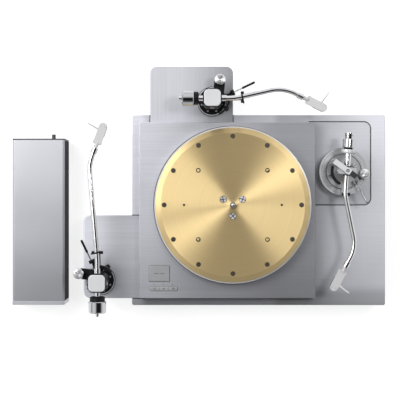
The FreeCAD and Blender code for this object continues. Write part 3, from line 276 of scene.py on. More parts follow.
def blasted_case(name, colour, roughness):
    """The control box: fine blasted grain, its two long walls painted dark, and a painted shade darker
    towards the front.
    """
    finish = Finish(name, colour, 0.6, roughness)
    fine, both, tone = finish.grain(1600.0, 9.0, 0.97, 1.03)
    facing = finish.axes(finish.node("ShaderNodeTexCoord").outputs["Normal"])[0]
    wall = finish.math("GREATER_THAN", finish.math("ABSOLUTE", facing, 0.0), 0.85)
    # Painted shade: the top darker towards the front.
    painted_light_ramp = finish.painted_light_ramp("Y", -242, 105, [(0.0, 0.65), (0.5, 0.88), (1.0, 1.08)])
    tone = finish.mix(1.0, tone, painted_light_ramp, "MULTIPLY")
    finish.set("Base Color", finish.mix(wall, tone, (0.04, 0.041, 0.044, 1.0)))
    painted = finish.math("MULTIPLY", wall, 0.85)
    finish.set("Roughness", finish.math("MAXIMUM", finish.uneven(both), painted))
    finish.set("Metallic", finish.spread(wall, 0.6, 0.0, 0.0, 1.0))
    finish.set("Specular IOR Level", 0.12)
    finish.bump(fine, 0.1)
    return finish.material


def stage_metal(name, colour, pale, roughness):
    """The right arm's stage: a pale bridge with a dark ring, a painted shade on the bridge past the
    pivot, and a dark rest clip.
    """
    bridge_heading, bridge_foot, clip_top = 144.0, 183.1, 183.0
    painted_shade_from_pivot, clip_reach, ring_inner, ring_outer = 6.8, 24.0, 2.1, 3.4
    finish = Finish(name, colour, 0.6, roughness)
    fine, both, tone = finish.grain(1400.0, 30.0, 0.95, 1.04)
    place = finish.coordinate()
    height = finish.axes(place)[2]
    bridge = finish.math("GREATER_THAN", height, bridge_foot * MM)
    tone = finish.mix(bridge, tone, (*pale, 1.0))
    x, y = ARMS["right"]["pivot"]
    turn = math.radians(bridge_heading)
    along = (math.cos(turn), math.sin(turn), 0.0)
    reach = finish.vector_math("DOT_PRODUCT", place, along, "Value")
    # Past the pivot the bridge gets a painted shade.
    end = finish.math("LESS_THAN", reach, (along[0] * x + along[1] * y - painted_shade_from_pivot) * MM)
    tone = finish.mix(finish.math("MULTIPLY", end, bridge), tone, (0.05, 0.05, 0.053, 1.0))
    rest = ((x - 3.3) * MM, (y - 46.9) * MM, 168.0 * MM)
    from_rest = finish.vector_math("DISTANCE", place, rest, "Value")
    near_rest = finish.math("LESS_THAN", from_rest, clip_reach * MM)
    clip = finish.math("MULTIPLY", near_rest, finish.math("LESS_THAN", height, clip_top * MM))
    tone = finish.mix(clip, tone, (0.02, 0.02, 0.021, 1.0))
    level = finish.vector_math("MULTIPLY", place, (1.0, 1.0, 0.0))
    radius = finish.vector_math("DISTANCE", level, (x * MM, y * MM, 0.0), "Value")
    inside = finish.math("LESS_THAN", radius, ring_outer * MM)
    outside = finish.math("GREATER_THAN", radius, ring_inner * MM)
    ring = finish.math("MULTIPLY", finish.math("MULTIPLY", inside, outside), bridge)
    finish.set("Base Color", finish.mix(ring, tone, (0.03, 0.03, 0.03, 1.0)))
    finish.set("Metallic", finish.spread(bridge, 0.6, 0.2, 0.0, 1.0))
    finish.set("Roughness", finish.uneven(both))
    finish.bump(fine, 0.04)
    return finish.material


def polished(name, colour, roughness=0.08):
    """Plated metal with faint wiping marks."""
    finish = Finish(name, colour, 1.0, roughness)
    marks = finish.noise(60.0, 5.0, None, 0.65)
    finish.set("Roughness", finish.spread(marks, roughness * 0.7, roughness * 1.6, 0.35, 0.7))
    finish.set("Base Color", finish.tint(marks, 0.95, 1.03, 0.3))
    finish.bump(finish.noise(300.0, 2.0), 0.015)
    return finish.material


def turned_metal(name, colour, centre, roughness, anisotropy, rings=1400.0, contrast=0.08,
                 bump=0.15, metallic=1.0):
    """Metal turned on a lathe: fine rings round an upright axis."""
    finish = Finish(name, colour, metallic, roughness)
    x, y = centre
    from_axis = finish.coordinate(place=(-x * MM, -y * MM, 0))
    level = finish.vector_math("MULTIPLY", from_axis, (1.0, 1.0, 0.0))
    radius = finish.vector(finish.vector_math("LENGTH", level, None, "Value"))
    fine = finish.noise(rings, 3.0, radius, 0.6)
    pattern = finish.blend(fine, finish.noise(rings / 9.0, 2.0, radius), 0.75)
    finish.set("Base Color", finish.tint(pattern, 1 - contrast, 1 + contrast, 0.3))
    speckled = finish.blend(pattern, finish.noise(700.0, 2.0), 0.8)
    finish.set("Roughness", finish.uneven(speckled))
    finish.bump(fine, bump)
    finish.set("Anisotropic", anisotropy)
    finish.set("Tangent", finish.vector_math("NORMALIZE", level))
    return finish.material


BASE = brushed("base brushed", (0.58, 0.585, 0.62), 0.45, 0.5)
# The panel's ramps are painted light and shade; its dark strip at the front is a painted shadow of the
# top plate.
PANEL = brushed(
    "panel brushed", (0.62, 0.625, 0.665), 0.46, 0.7,
    [("Y", -243, 157, [(0.0, 0.5), (0.05, 0.56), (0.12, 0.84), (0.5, 0.97), (1.0, 1.18)]),
     ("X", -140, 392,
      [(0.0, 1.25), (0.025, 1.2), (0.07, 0.84), (0.545, 0.84), (0.591, 0.62), (1.0, 1.08)])])
BOARDS = brushed_boards("boards brushed", (0.6, 0.605, 0.645), 0.45, 0.45)
# Painted light on the plate: lighter at the back and the left.
PLATE = brushed(
    "plate brushed", (0.6, 0.605, 0.645), 0.46, 0.75,
    [("Y", -225, 140, [(0.0, 0.6), (0.5, 0.86), (1.0, 1.05)]),
     ("X", -115, 180, [(0.0, 1.3), (0.5, 0.92), (1.0, 0.64)])], 0.06)
CONTROL = blasted_case("case blasted", (0.56, 0.57, 0.6), 0.36)
CONTROL_FRONT = brushed("front panel brushed", (0.55, 0.56, 0.59), 0.34, 0.6)
BRASS = turned_metal("brass spun", (0.93, 0.715, 0.365), PLATTER, 0.40, 1.0, bump=0.1)
PLATTER_METAL = turned_metal("platter turned", (0.82, 0.82, 0.83), PLATTER, 0.3, 0.6, metallic=0.5)
FOOT = satin("foot satin", (0.5, 0.56, 0.58), 1.0, 0.35)
RUBBER = satin("rubber black", (0.022, 0.022, 0.023), 0.0, 0.75, 700.0, 0.2, 0.3)
CHASSIS = satin("chassis paint", (0.03, 0.03, 0.033), 0.0, 0.55, 1200.0, 0.15, 0.2)
BOARD_GREEN = satin("circuit board", (0.02, 0.12, 0.06), 0.0, 0.35, 500.0, 0.2, 0.15)
ROTOR = turned_metal("rotor steel", (0.45, 0.45, 0.46), PLATTER, 0.35, 0.4)
STEEL = satin("ground steel", (0.6, 0.6, 0.61), 1.0, 0.22, 1500.0, 0.05, 0.03)
BROWN = satin("weight metal", (0.10, 0.085, 0.07), 1.0, 0.42, 900.0, 0.1, 0.05)
CHROME = polished("chrome", (0.78, 0.785, 0.8))
DRUM = polished("drum chrome", (0.58, 0.585, 0.6))
SCREW = polished("screw chrome", (0.8, 0.8, 0.82), 0.34)
STAGE = stage_metal("stage satin", (0.36, 0.365, 0.375), (0.67, 0.675, 0.68), 0.42)
SATIN = satin("arm satin", (0.44, 0.445, 0.455), 0.7, 0.42, 1400.0, 0.04, 0.04)
GREY = satin("dark steel", (0.3, 0.3, 0.31), 1.0, 0.22, 1400.0, 0.06, 0.03)
BLACK = satin("arm black", (0.006, 0.006, 0.007), 0.0, 0.42, 1100.0, 0.15, 0.06, Specular_IOR_Level=0.2)
CAP = satin("cap pale", (0.73, 0.74, 0.75), 0.3, 0.38, 1300.0, 0.02, 0.03)
SHELL = satin("shell pale", (0.63, 0.625, 0.63), 0.15, 0.42, 1300.0, 0.02, 0.03)
PLASTIC = satin("cartridge plastic", (0.02, 0.02, 0.022), 0.0, 0.45, 900.0, 0.15, 0.1)
BUTTON = satin("button satin", (0.74, 0.745, 0.755), 1.0, 0.32, 1500.0, 0.03, 0.03)
WINDOW = satin("window gloss", (0.006, 0.006, 0.008), 0.0, 0.06, 200.0, 0.1, 0.0,
               Coat_Weight=0.5, Coat_Roughness=0.04)
REAR_PAINT = satin("rear paint", (0.05, 0.05, 0.055), 0.0, 0.45, 1200.0, 0.12, 0.15)
INK = satin("dark print", (0.05, 0.05, 0.052), 0.0, 0.5, 900.0, 0.1, 0.0)

NODE_FINISH = {
    "plinth_base": BASE,
    "plinth_top_panel": PANEL,
    "plinth_feet": FOOT,
    "rubber_feet": RUBBER,
    "arm_boards": BOARDS,
    "motor_chassis": CHASSIS,
    "motor_top_plate": PLATE,
    "motor_stator": BOARD_GREEN,
    "motor_rotor": ROTOR,
    "bearing_sleeve": STEEL,
    "key_board": BOARD_GREEN,
    "start_stop_button": BUTTON,
    "speed_button_33": BUTTON,
    "speed_button_45": BUTTON,
    "speed_button_78": BUTTON,
    "platter_body": PLATTER_METAL,
    "platter_brass_top": BRASS,
    "platter_weights": BROWN,
    "platter_screws": SCREW,
    "spindle": STEEL,
    "right_arm_base": SATIN,
    "right_arm_height_ring": SATIN,
    "right_arm_stage": STAGE,
    "right_arm_force_dial": CAP,
    "right_arm_gimbal": SATIN,
    "control_case": CONTROL,
    "control_front_panel": CONTROL_FRONT,
    "control_display_window": WINDOW,
    "control_rear_panel": REAR_PAINT,
    "control_power_button": BUTTON,
}
ARM_FINISH = {
    "base": BLACK,
    "pillar": BLACK,
    "yoke": BLACK,
    "cap": CAP,
    "pipe": CHROME,
    "headshell": SHELL,
    "cartridge": PLASTIC,
    "counterweight": CHROME,
    "force_dial": BLACK,
    "cue_lever": CHROME,
    "lift": BLACK,
    "antiskate_knob": CHROME,
}
for arm_name in ARMS:
    for piece_name, piece_finish in ARM_FINISH.items():
        NODE_FINISH.setdefault(arm_name + "_arm_" + piece_name, piece_finish)


def node_object(name):
    found = frame["nodes"][name]
    return bpy.data.objects[found] if isinstance(found, str) else found


for node_name in frame["nodes"]:
    for material_slot in node_object(node_name).material_slots:
        material_slot.material = NODE_FINISH[node_name]


# Camera, floor and light

camera_data = bpy.data.cameras.new("camera")
camera_data.lens = 99.1
camera_data.sensor_width = 36.0
camera_data.clip_end = 60.0
camera = bpy.data.objects.new("camera", camera_data)
camera.location = (0.0032, -0.0215, 2.4)
bpy.context.scene.collection.objects.link(camera)
bpy.context.scene.camera = camera


def make_floor():
    """A pale floor that looks white, but lights the object only as its own grey does."""
    mesh = bpy.data.meshes.new("floor")
    size = 15.0
    corners = [(-size, -size, 0), (size, -size, 0), (size, size, 0), (-size, size, 0)]
    mesh.from_pydata(corners, [], [(0, 1, 2, 3)])
    floor = bpy.data.objects.new("floor", mesh)
    bpy.context.scene.collection.objects.link(floor)
    finish = Finish("floor pale", (0.5, 0.5, 0.5), 0.0, 0.8)
    mottle = finish.noise(3.0, 2.0)
    finish.set("Base Color", finish.mix(mottle, (0.495, 0.495, 0.495, 1.0), (0.505, 0.505, 0.505, 1.0)))
    glow = finish.node("ShaderNodeEmission")
    finish.plug(glow.inputs["Strength"], 0.72)
    both = finish.node("ShaderNodeAddShader")
    finish.plug(both.inputs[0], finish.shader.outputs[0])
    finish.plug(both.inputs[1], glow.outputs[0])
    path = finish.node("ShaderNodeLightPath").outputs
    seen = finish.math("MAXIMUM", path["Is Camera Ray"], path["Is Glossy Ray"])
    seen = finish.math("MAXIMUM", seen, path["Is Transmission Ray"])
    chooser = finish.node("ShaderNodeMixShader")
    finish.plug(chooser.inputs[0], seen)
    finish.plug(chooser.inputs[1], finish.shader.outputs[0])
    finish.plug(chooser.inputs[2], both.outputs[0])
    finish.plug(finish.nodes["Material Output"].inputs["Surface"], chooser.outputs[0])
    mesh.materials.append(finish.material)


make_floor()


def make_lamp(name, azimuth, elevation, distance, size, power):
    """A flat lamp that faces the platter."""
    data = bpy.data.lights.new(name, "AREA")
    data.shape = "RECTANGLE"
    data.size, data.size_y = size
    data.energy = power
    lamp = bpy.data.objects.new(name, data)
    turn = math.radians(azimuth)
    rise = math.radians(elevation)
    target = Vector((PLATTER[0] * MM, PLATTER[1] * MM, 0.1))
    away = Vector((math.cos(turn) * math.cos(rise), math.sin(turn) * math.cos(rise), math.sin(rise)))
    lamp.location = target + away * distance
    lamp.rotation_euler = away.to_track_quat("Z", "Y").to_euler()
    bpy.context.scene.collection.objects.link(lamp)


make_lamp("key", 156, 50, 2.4, (1.7, 1.0), 25.0)
make_lamp("fill", 43, 50, 2.4, (0.8, 0.8), 2.5)
make_lamp("top", 26, 69, 2.6, (0.4, 0.4), 8.0)
WHITE = (1.0, 1.0, 1.0, 1.0)
CEILING = [(0.0, 0.95), (0.3, 0.8), (0.5, 0.5), (0.68, 0.28), (1.0, 0.15)]
WALLS = [(0.0, 0.6), (0.42, 0.55), (0.52, 0.2), (1.0, 0.2)]
DARK_CENTRE = (0.3, -0.3, 0.906)


def make_world():
    """A ceiling that darkens to the front right, with a dark disc, and walls white at the rear right."""
    world = bpy.data.worlds.new("studio")
    bpy.context.scene.world = world
    world.use_nodes = True
    sky = Nodes(world.node_tree)
    direction = sky.node("ShaderNodeTexCoord").outputs["Generated"]
    height = sky.axes(direction)[2]

    def ramp(value, low, high, stops):
        return sky.tones(sky.spread(value, 0.0, 1.0, low, high), stops, 1.02)

    def towards(*way):
        return sky.vector_math("DOT_PRODUCT", direction, way, "Value")

    ceiling = ramp(towards(0.65, -0.76, 0.0), -0.5, 0.5, CEILING)
    walls = ramp(height, 0.0, 1.0, WALLS)
    rear_right = ramp(towards(0.7, 0.7, 0.0), 0.2, 0.9, [(0.0, 0.0), (1.0, 1.0)])
    walls = sky.mix(rear_right, walls, WHITE)
    overhead = ramp(height, 0.44, 0.54, [(0.0, 0.0), (1.0, 1.0)])
    surroundings = sky.mix(overhead, walls, ceiling)
    disc = ramp(towards(*DARK_CENTRE), 0.80, 0.93, [(0.0, 1.0), (1.0, 0.05)])
    surroundings = sky.mix(1.0, surroundings, disc, "MULTIPLY")
    seen = sky.node("ShaderNodeLightPath").outputs["Is Camera Ray"]
    sky.plug(sky.nodes["Background"].inputs["Color"], sky.mix(seen, surroundings, WHITE))


make_world()
bpy.context.scene.view_settings.view_transform = "Standard"


# Mesh helpers. Shapes are lists of rings of points in millimetres, and a shell is such a list
# with the matrix that puts it in place.

def finish_mesh(name, mesh, material, body, sharp=32.0):
    """A piece of the scene that rides a body. Edges over the sharp angle stay hard."""
    mesh.materials.append(material)
    mesh.polygons.foreach_set("use_smooth", [True] * len(mesh.polygons))
    mesh.set_sharp_from_angle(angle=math.radians(sharp))
    piece = bpy.data.objects.new(name, mesh)
    bpy.context.scene.collection.objects.link(piece)
    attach(piece, body)
    return piece


def to_mesh(name, data):
    """A mesh from edited geometry, which is freed."""
    mesh = bpy.data.meshes.new(name)
    data.to_mesh(mesh)
    data.free()
    return mesh


def compound(name, body, material, shells, sharp=32.0, washers=False):
    """One piece from shells. The first and last rings of a washer meet, so it has no ends."""
    data = bmesh.new()
    for rings, matrix in shells:
        layers = [[data.verts.new(matrix @ Vector(point)) for point in ring] for ring in rings]
        for lower, upper in zip(layers, layers[1:]):
            for index in range(len(lower)):
                after = (index + 1) % len(lower)
                data.faces.new((lower[index], lower[after], upper[after], upper[index]))
        if not washers:
            data.faces.new(list(reversed(layers[0])))
            data.faces.new(layers[-1])
    if washers:
        bmesh.ops.remove_doubles(data, verts=data.verts, dist=1e-7)
    bmesh.ops.recalc_face_normals(data, faces=data.faces)
    return finish_mesh(name, to_mesh(name, data), material, body, sharp)


def band(name, body, material, shells):
    """One piece from washers."""
    return compound(name, body, material, shells, washers=True)


def circle(radius, height, count, teeth=0.0):
    """A ring of points. Teeth pull every other point in, for a grip."""
    points = []
    for index in range(count):
        angle = 2 * math.pi * index / count
        reach = radius - (teeth if index % 2 else 0.0)
        points.append((reach * math.cos(angle), reach * math.sin(angle), height))
    return points


def lathe(profile, count=64, toothed=(), teeth=0.0):
    """Rings for a shape turned about Z, from (radius, height) pairs. Rows in toothed are knurled."""
    return [circle(radius, height, count, teeth if index in toothed else 0.0)
            for index, (radius, height) in enumerate(profile)]


def spin_x(profile, count=48):
    """Rings for a shape turned about X, from (radius, distance) pairs."""
    return [[(distance, y, z) for y, z, _ in circle(radius, 0.0, count)] for radius, distance in profile]


def rounded(half_x, half_y, corner, height, steps=6):
    """A ring of points round a rectangle with rounded corners."""
    points = []
    for quarter in range(4):
        middle_x = (half_x - corner) * (1 if quarter in (0, 3) else -1)
        middle_y = (half_y - corner) * (1 if quarter in (0, 1) else -1)
        for step in range(steps + 1):
            angle = math.radians(90 * quarter + 90 * step / steps)
            x = middle_x + corner * math.cos(angle)
            y = middle_y + corner * math.sin(angle)
            points.append((x, y, height))
    return points


def bar(half_x, half_y, corner, bottom, top, steps=6):
    """Rings for a low block with rounded corners."""
    return [rounded(half_x, half_y, corner, height, steps) for height in (bottom, top)]


def ring_band(inner, outer, bottom, top, count):
    """Rings for a flat round washer."""
    return lathe([(inner, bottom), (outer, bottom), (outer, top), (inner, top), (inner, bottom)], count)


def frame_rings(half_x, half_y, corner, width, bottom, top):
    """Rings for a flat frame round a rectangle with rounded corners."""
    inner = (half_x, half_y, corner)
    outer = (half_x + width, half_y + width, corner + width)
    return [rounded(*inner, bottom), rounded(*outer, bottom), rounded(*outer, top),
            rounded(*inner, top), rounded(*inner, bottom)]


def sweep(points, widths, thicknesses):
    """Rings for a flat strip with rounded edges along points."""
    rings = []
    for index, point in enumerate(points):
        before = Vector(points[max(index - 1, 0)])
        after = Vector(points[min(index + 1, len(points) - 1)])
        along = (after - before).normalized()
        across = Vector((-along.y, along.x, 0)).normalized()
        rise = across.cross(along) * -1
        ring = []
        for step in range(12):
            angle = 2 * math.pi * step / 12
            sideways = across * (widths[index] / 2 * math.cos(angle))
            upward = rise * (thicknesses[index] / 2 * math.sin(angle))
            ring.append(tuple(Vector(point) + sideways + upward))
        rings.append(ring)
    return rings


def turned(axis, angle):
    """A turn about an axis, in degrees."""
    return Matrix.Rotation(math.radians(angle), 4, axis)


def moved(*place):
    return Matrix.Translation(Vector(place))


def place_matrix(place, heading=0.0):
    """Puts a shape at a place, turned about Z, and takes millimetres to metres."""
    return Matrix.Scale(MM, 4) @ (moved(*place) @ turned("Z", heading))


def upright(place, heading=0.0):
    """The same for a shape whose heights are already the group's own."""
    return place_matrix((*place, 0), heading)


def copies(rings, places):
    """A shell of the same rings at each place."""
    return [(rings, upright(place)) for place in places]


def polar(radius, angle, centre):
    """A place at a distance and an angle, in degrees, from a centre."""
    turn = math.radians(angle)
    return centre[0] + radius * math.cos(turn), centre[1] + radius * math.sin(turn)


def arm_place(arm, local):
    """A place in an arm's own frame, whose X is along its pipe, in the group's."""
    x, y = ARMS[arm]["pivot"]
    turn = math.radians(ARMS[arm]["heading"])
    return (x + local[0] * math.cos(turn) - local[1] * math.sin(turn),
            y + local[0] * math.sin(turn) + local[1] * math.cos(turn))


def arm_matrix(arm, local=(0, 0), height=AXIS):
    """The frame of an arm at a place in it, by default where its pipe's middle turns."""
    return place_matrix((*arm_place(arm, local), height), ARMS[arm]["heading"])


# Pieces with softened edges stand for the sharp ones

SOFTENED = {
    "plinth_base": ("base_aluminium", 0.6),
    "plinth_top_panel": ("panel_aluminium", 0.6),
    "arm_boards": ("board_aluminium", 0.7),
    "motor_top_plate": ("plate_aluminium", 0.8),
    "control_case": ("control_aluminium", 0.6),
    "control_front_panel": ("control_aluminium", 0.5),
    "start_stop_button": ("button_aluminium", 0.3),
    "speed_button_33": ("button_aluminium", 0.3),
    "speed_button_45": ("button_aluminium", 0.3),
    "speed_button_78": ("button_aluminium", 0.3),
    "platter_weights": ("weight_metal", 0.5),
    "rear_arm_cap": ("cap_pale", 0.6),
    "left_arm_cap": ("cap_pale", 0.6),
    "rear_arm_yoke": ("arm_black", 0.5),
    "left_arm_yoke": ("arm_black", 0.5),
    "right_arm_gimbal": ("arm_satin", 0.4),
}
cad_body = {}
for body_name, members in frame["record"]["behaviour"]["bodies"].items():
    for member in members:
        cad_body[member] = body_name


def softened(node, width):
    """Bevels the edges of one of the part's pieces by a width in millimetres."""
    data = bmesh.new()
    data.from_mesh(node_object(node).data)
    bmesh.ops.remove_doubles(data, verts=data.verts, dist=2e-6)
    bmesh.ops.dissolve_limit(data, angle_limit=math.radians(0.5), verts=data.verts, edges=data.edges)
    edges = []
    for edge in data.edges:
        if edge.is_manifold and edge.calc_face_angle() > math.radians(35.0):
            edges.append(edge)
    bmesh.ops.bevel(data, geom=edges, offset=width * MM, segments=2, profile=0.5,
                    affect="EDGES", clamp_overlap=True)
    name = node + "_soft"
    piece = finish_mesh(name, to_mesh(name, data), NODE_FINISH[node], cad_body[node], 75.0)
    weighted = piece.modifiers.new("even_normals", "WEIGHTED_NORMAL")
    weighted.mode = "FACE_AREA"
    weighted.weight = 100
    weighted.keep_sharp = True
    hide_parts(node)


for node_name, (node_slot, edge_width) in SOFTENED.items():
    softened(node_name, edge_width)


# Platter screws

def cross_screw(place, radius, top, heading):
    """A flat-topped screw cut by two crossing slots: four quarter posts."""
    half_slot = 0.9
    start = math.asin(half_slot / radius)
    points = [(half_slot, half_slot)]
    for step in range(9):
        turn = start + (math.pi / 2 - 2 * start) * step / 8
        points.append((radius * math.cos(turn), radius * math.sin(turn)))
    inner = [(half_slot + (x - half_slot) * 0.9, half_slot + (y - half_slot) * 0.9) for x, y in points]
    rings = [[(x, y, top - depth) for x, y in points] for depth in (1.8, 0.4)]
    rings.append([(x, y, top) for x, y in inner])
    return [(rings, upright(place, heading + 90 * quarter)) for quarter in range(4)]


CROSS_ANGLES = (30, 150, 270)
cross_places = [polar(22.9, angle, PLATTER) for angle in CROSS_ANGLES]
rim_places = [(PLATTER[0] + 70.8 * sx, PLATTER[1] + 70.8 * sy) for sx in (-1, 1) for sy in (-1, 1)]
hole_places = [(PLATTER[0] + side * 100.1, PLATTER[1]) for side in (-1, 1)]
POCKET_FLOOR = 139.0
screw_shells = []
for place, angle in zip(cross_places, CROSS_ANGLES):
    screw_shells += cross_screw(place, 6.6, 147.6, angle + 40)
rim_head = [(4.7, POCKET_FLOOR), (4.7, 147.2), (4.2, 147.7), (3.2, 147.7), (2.7, 146.4)]
screw_shells += copies(lathe(rim_head, 48), rim_places)
screws = compound("platter_screw_heads", "platter", SCREW, screw_shells)
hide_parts("platter_screws")
# Dark discs under the cross screws: painted shade in their slots and in the pocket round each head.
compound("platter_screw_slots", "platter", INK,
         copies(lathe([(6.9, POCKET_FLOOR), (6.9, 145.6)]), cross_places))
compound("platter_screw_centres", "platter", BRASS,
         copies(lathe([(2.6, 146.3), (2.6, 147.5), (1.9, 147.8)], 32), rim_places))
band("platter_screw_rims", "platter", BLACK,
     copies(ring_band(3.0, 4.75, 147.0, 147.85, 48), rim_places))
# Dark discs in the two holes: painted shade of their depth.
compound("platter_hole_plugs", "platter", BLACK,
         copies(lathe([(2.4, 146.2), (2.4, 147.2)], 32), hole_places))


# Painted shadows in the gaps and grooves of the deck, and marks on its top plate and buttons

# A dark ring on the well's floor round the platter: a painted shadow in the gap.
band("platter_gap_liner", "deck", INK,
     copies(ring_band(161.9, 163.8, 109.0, 109.6, 160), [PLATTER]))


def groove_shadow_strip(path):
    """Sections of a dark strip in a groove, a painted shadow, along (place, outward direction) pairs."""
    inner, outer, bottom, top = -0.5, 1.8, 87.0, 89.85
    rings = []
    for (x, y), (out_x, out_y) in path:
        near = (x + inner * out_x, y + inner * out_y)
        far = (x + outer * out_x, y + outer * out_y)
        rings.append([(*near, bottom), (*far, bottom), (*far, top), (*near, top)])
    return rings


def right_board_path():
    """Round the right arm's board, but for its inner side."""
    corner = 14.0
    path = [((242.5, -31.6), (0.0, -1.0))]
    for centre, start in (((346.9, -17.6), -90), ((346.9, 128.4), 0)):
        for step in range(9):
            angle = start + 90 * step / 8
            path.append((polar(corner, angle, centre), polar(1.0, angle, (0.0, 0.0))))
    path.append(((242.5, 142.4), (0.0, 1.0)))
    return path


groove_paths = [
    right_board_path(),
    [((-101.5, 140.5), (-1.0, 0.0)), ((-101.5, 156.6), (-1.0, 0.0))],
    [((72.5, 140.5), (1.0, 0.0)), ((72.5, 156.6), (1.0, 0.0))],
    [((-123.0, -53.6), (0.0, 1.0)), ((-139.2, -53.6), (0.0, 1.0))],
    [((-123.0, -227.6), (0.0, -1.0)), ((-139.2, -227.6), (0.0, -1.0))],
]
# Dark strips in the grooves round the arms' boards: painted shadows in the gaps.
compound("board_grooves", "deck", INK,
         [(groove_shadow_strip(path), upright((0, 0))) for path in groove_paths])
START_BUTTON = (-80.9, -173.9)
SPEED_BUTTONS = {"33": (-90.75, -205.6), "45": (-71.65, -205.6), "78": (-52.7, -205.6)}
BUTTON_TOP = 118.0
# Thin dark frames round the buttons: painted shadows in their gaps.
gap_shadow_heights = (PLATE_TOP - 0.2, PLATE_TOP + 0.06)
band("button_outlines", "deck", INK,
     copies(frame_rings(20.8, 16.6, 1.5, 0.9, *gap_shadow_heights), [START_BUTTON])
     + copies(frame_rings(9.3, 4.4, 1.0, 0.6, *gap_shadow_heights), SPEED_BUTTONS.values()))
compound("speed_indicators", "deck", INK,
         copies(lathe([(0.9, PLATE_TOP - 0.2), (0.9, PLATE_TOP + 0.08)], 24),
                [(x - 1.0, y + 9.1) for x, y in SPEED_BUTTONS.values()]))
compound("start_button_mark", "start_button", INK,
         copies(bar(4.6, 0.45, 0.3, BUTTON_TOP - 0.1, BUTTON_TOP + 0.06),
                [(START_BUTTON[0] + side * 6.2, START_BUTTON[1]) for side in (-1, 1)]))


def number(name, text, body, size, matrix, material=INK):
    """Plain figures as a thin piece of their own, drawn about their middle."""
    curve = bpy.data.curves.new(name + "_curve", "FONT")
    curve.body = text
    curve.size = size
    curve.extrude = 0.04
    curve.align_x = "CENTER"
    curve.align_y = "CENTER"
    drawn = bpy.data.objects.new(name + "_curve", curve)
    bpy.context.scene.collection.objects.link(drawn)
    mesh = bpy.data.meshes.new_from_object(drawn.evaluated_get(bpy.context.evaluated_depsgraph_get()))
    bpy.data.objects.remove(drawn)
    bpy.data.curves.remove(curve)
    mesh.transform(matrix)
    mesh.materials.clear()
    mesh.name = name
    finish_mesh(name, mesh, material, body)


for text, place in SPEED_BUTTONS.items():
    number("number_" + text, text, "button_" + text, 6.0, place_matrix((*place, BUTTON_TOP + 0.02)))


# Tonearms

SHELL_TOP = -1.2


def route_end(arm):
    """Where the pipe ends in the arm's frame, and its heading there in degrees."""
    lengths, radii, turns = ROUTES[arm]
    x = lengths[0]
    y = 0.0
    heading = 0.0
    for radius, turn, length in zip(radii, turns, lengths[1:]):
        reach = math.copysign(radius, turn)
        x -= reach * math.sin(heading)
        y += reach * math.cos(heading)
        heading += math.radians(turn)
        x += reach * math.sin(heading) + length * math.cos(heading)
        y += -reach * math.cos(heading) + length * math.sin(heading)
    return (x, y), math.degrees(heading)


def shell_matrix(arm, local=(0, 0, 0)):
    """A frame at the pipe's end, with X towards the headshell's nose."""
    end, heading = route_end(arm)
    return arm_matrix(arm, end) @ (turned("Z", heading) @ moved(*local))


def shell_outline(inset, height):
    """The headshell seen from above: narrow neck, shoulders with a bump, rounded nose."""
    half = [(4.0, 3.6), (7.5, 3.8), (8.5, 8.2), (10.5, 9.4), (13.5, 9.4), (15.0, 8.6), (44.0, 8.6),
            (49.5, 7.6), (52.6, 5.2), (53.9, 2.4)]
    middle = 29.0
    ring = []
    for x, y in half + [(x, -y) for x, y in reversed(half)]:
        shift_x = inset if x > middle else -inset
        ring.append((x - shift_x, y - math.copysign(min(inset, abs(y)), y), height))
    return ring


def make_shell(arm):
    """The headshell with its finger lift and neck, and the two screws of the cartridge."""
    body = arm + "_tube"
    top = SHELL_TOP
    plate = [shell_outline(inset, top - depth) for inset, depth in
             ((0.5, 2.4), (0.0, 2.0), (0.0, 0.5), (0.5, 0.0))]
    finger_points = [(38.0, 7.0, top - 0.7), (38.6, 11.0, top - 0.6), (39.6, 16.0, top + 0.4),
                     (40.6, 21.0, top + 1.8), (41.4, 27.0, top + 3.6), (42.0, 31.5, top + 5.4)]
    finger = sweep(finger_points, [4.6, 3.6, 3.0, 2.6, 2.4, 1.6], [1.3, 1.3, 1.2, 1.1, 1.1, 0.8])
    neck = spin_x([(3.9, 0.3), (4.1, 1.0), (4.1, 3.2), (3.6, 4.0), (3.6, 10.0)], 40)
    matrix = shell_matrix(arm)
    shell = compound(arm + "_shell", body, SHELL,
                     [(rings, matrix) for rings in (plate, finger, neck)])
    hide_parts(arm + "_arm_headshell")
    places = [shell_matrix(arm, (47.0, side * 4.4, 0)) for side in (-1, 1)]
    head = lathe([(1.5, top - 4.0), (1.5, top - 0.1), (1.1, top + 0.25)], 24)
    washer = lathe([(2.1, top - 1.0), (2.1, top + 0.06)], 24)
    compound(arm + "_shell_screws", body, CAP, [(head, place) for place in places])
    compound(arm + "_shell_washers", body, SATIN, [(washer, place) for place in places])


def make_collar(arm):
    """The striped nut that clamps the headshell's neck at the pipe's end."""
    radius = 5.7 if arm == "right" else 6.3
    dark = []
    bright = []
    for index, start in enumerate((-12.4, -9.8, -7.2, -4.6, -2.0)):
        rings = spin_x([(radius - 0.7, start), (radius, start + 0.3), (radius, start + 1.3),
                        (radius - 0.7, start + 1.6)], 40)
        (dark if index % 2 else bright).append((rings, shell_matrix(arm)))
    compound(arm + "_collar_dark", arm + "_tube", BLACK, dark)
    compound(arm + "_collar_bright", arm + "_tube", CHROME, bright)


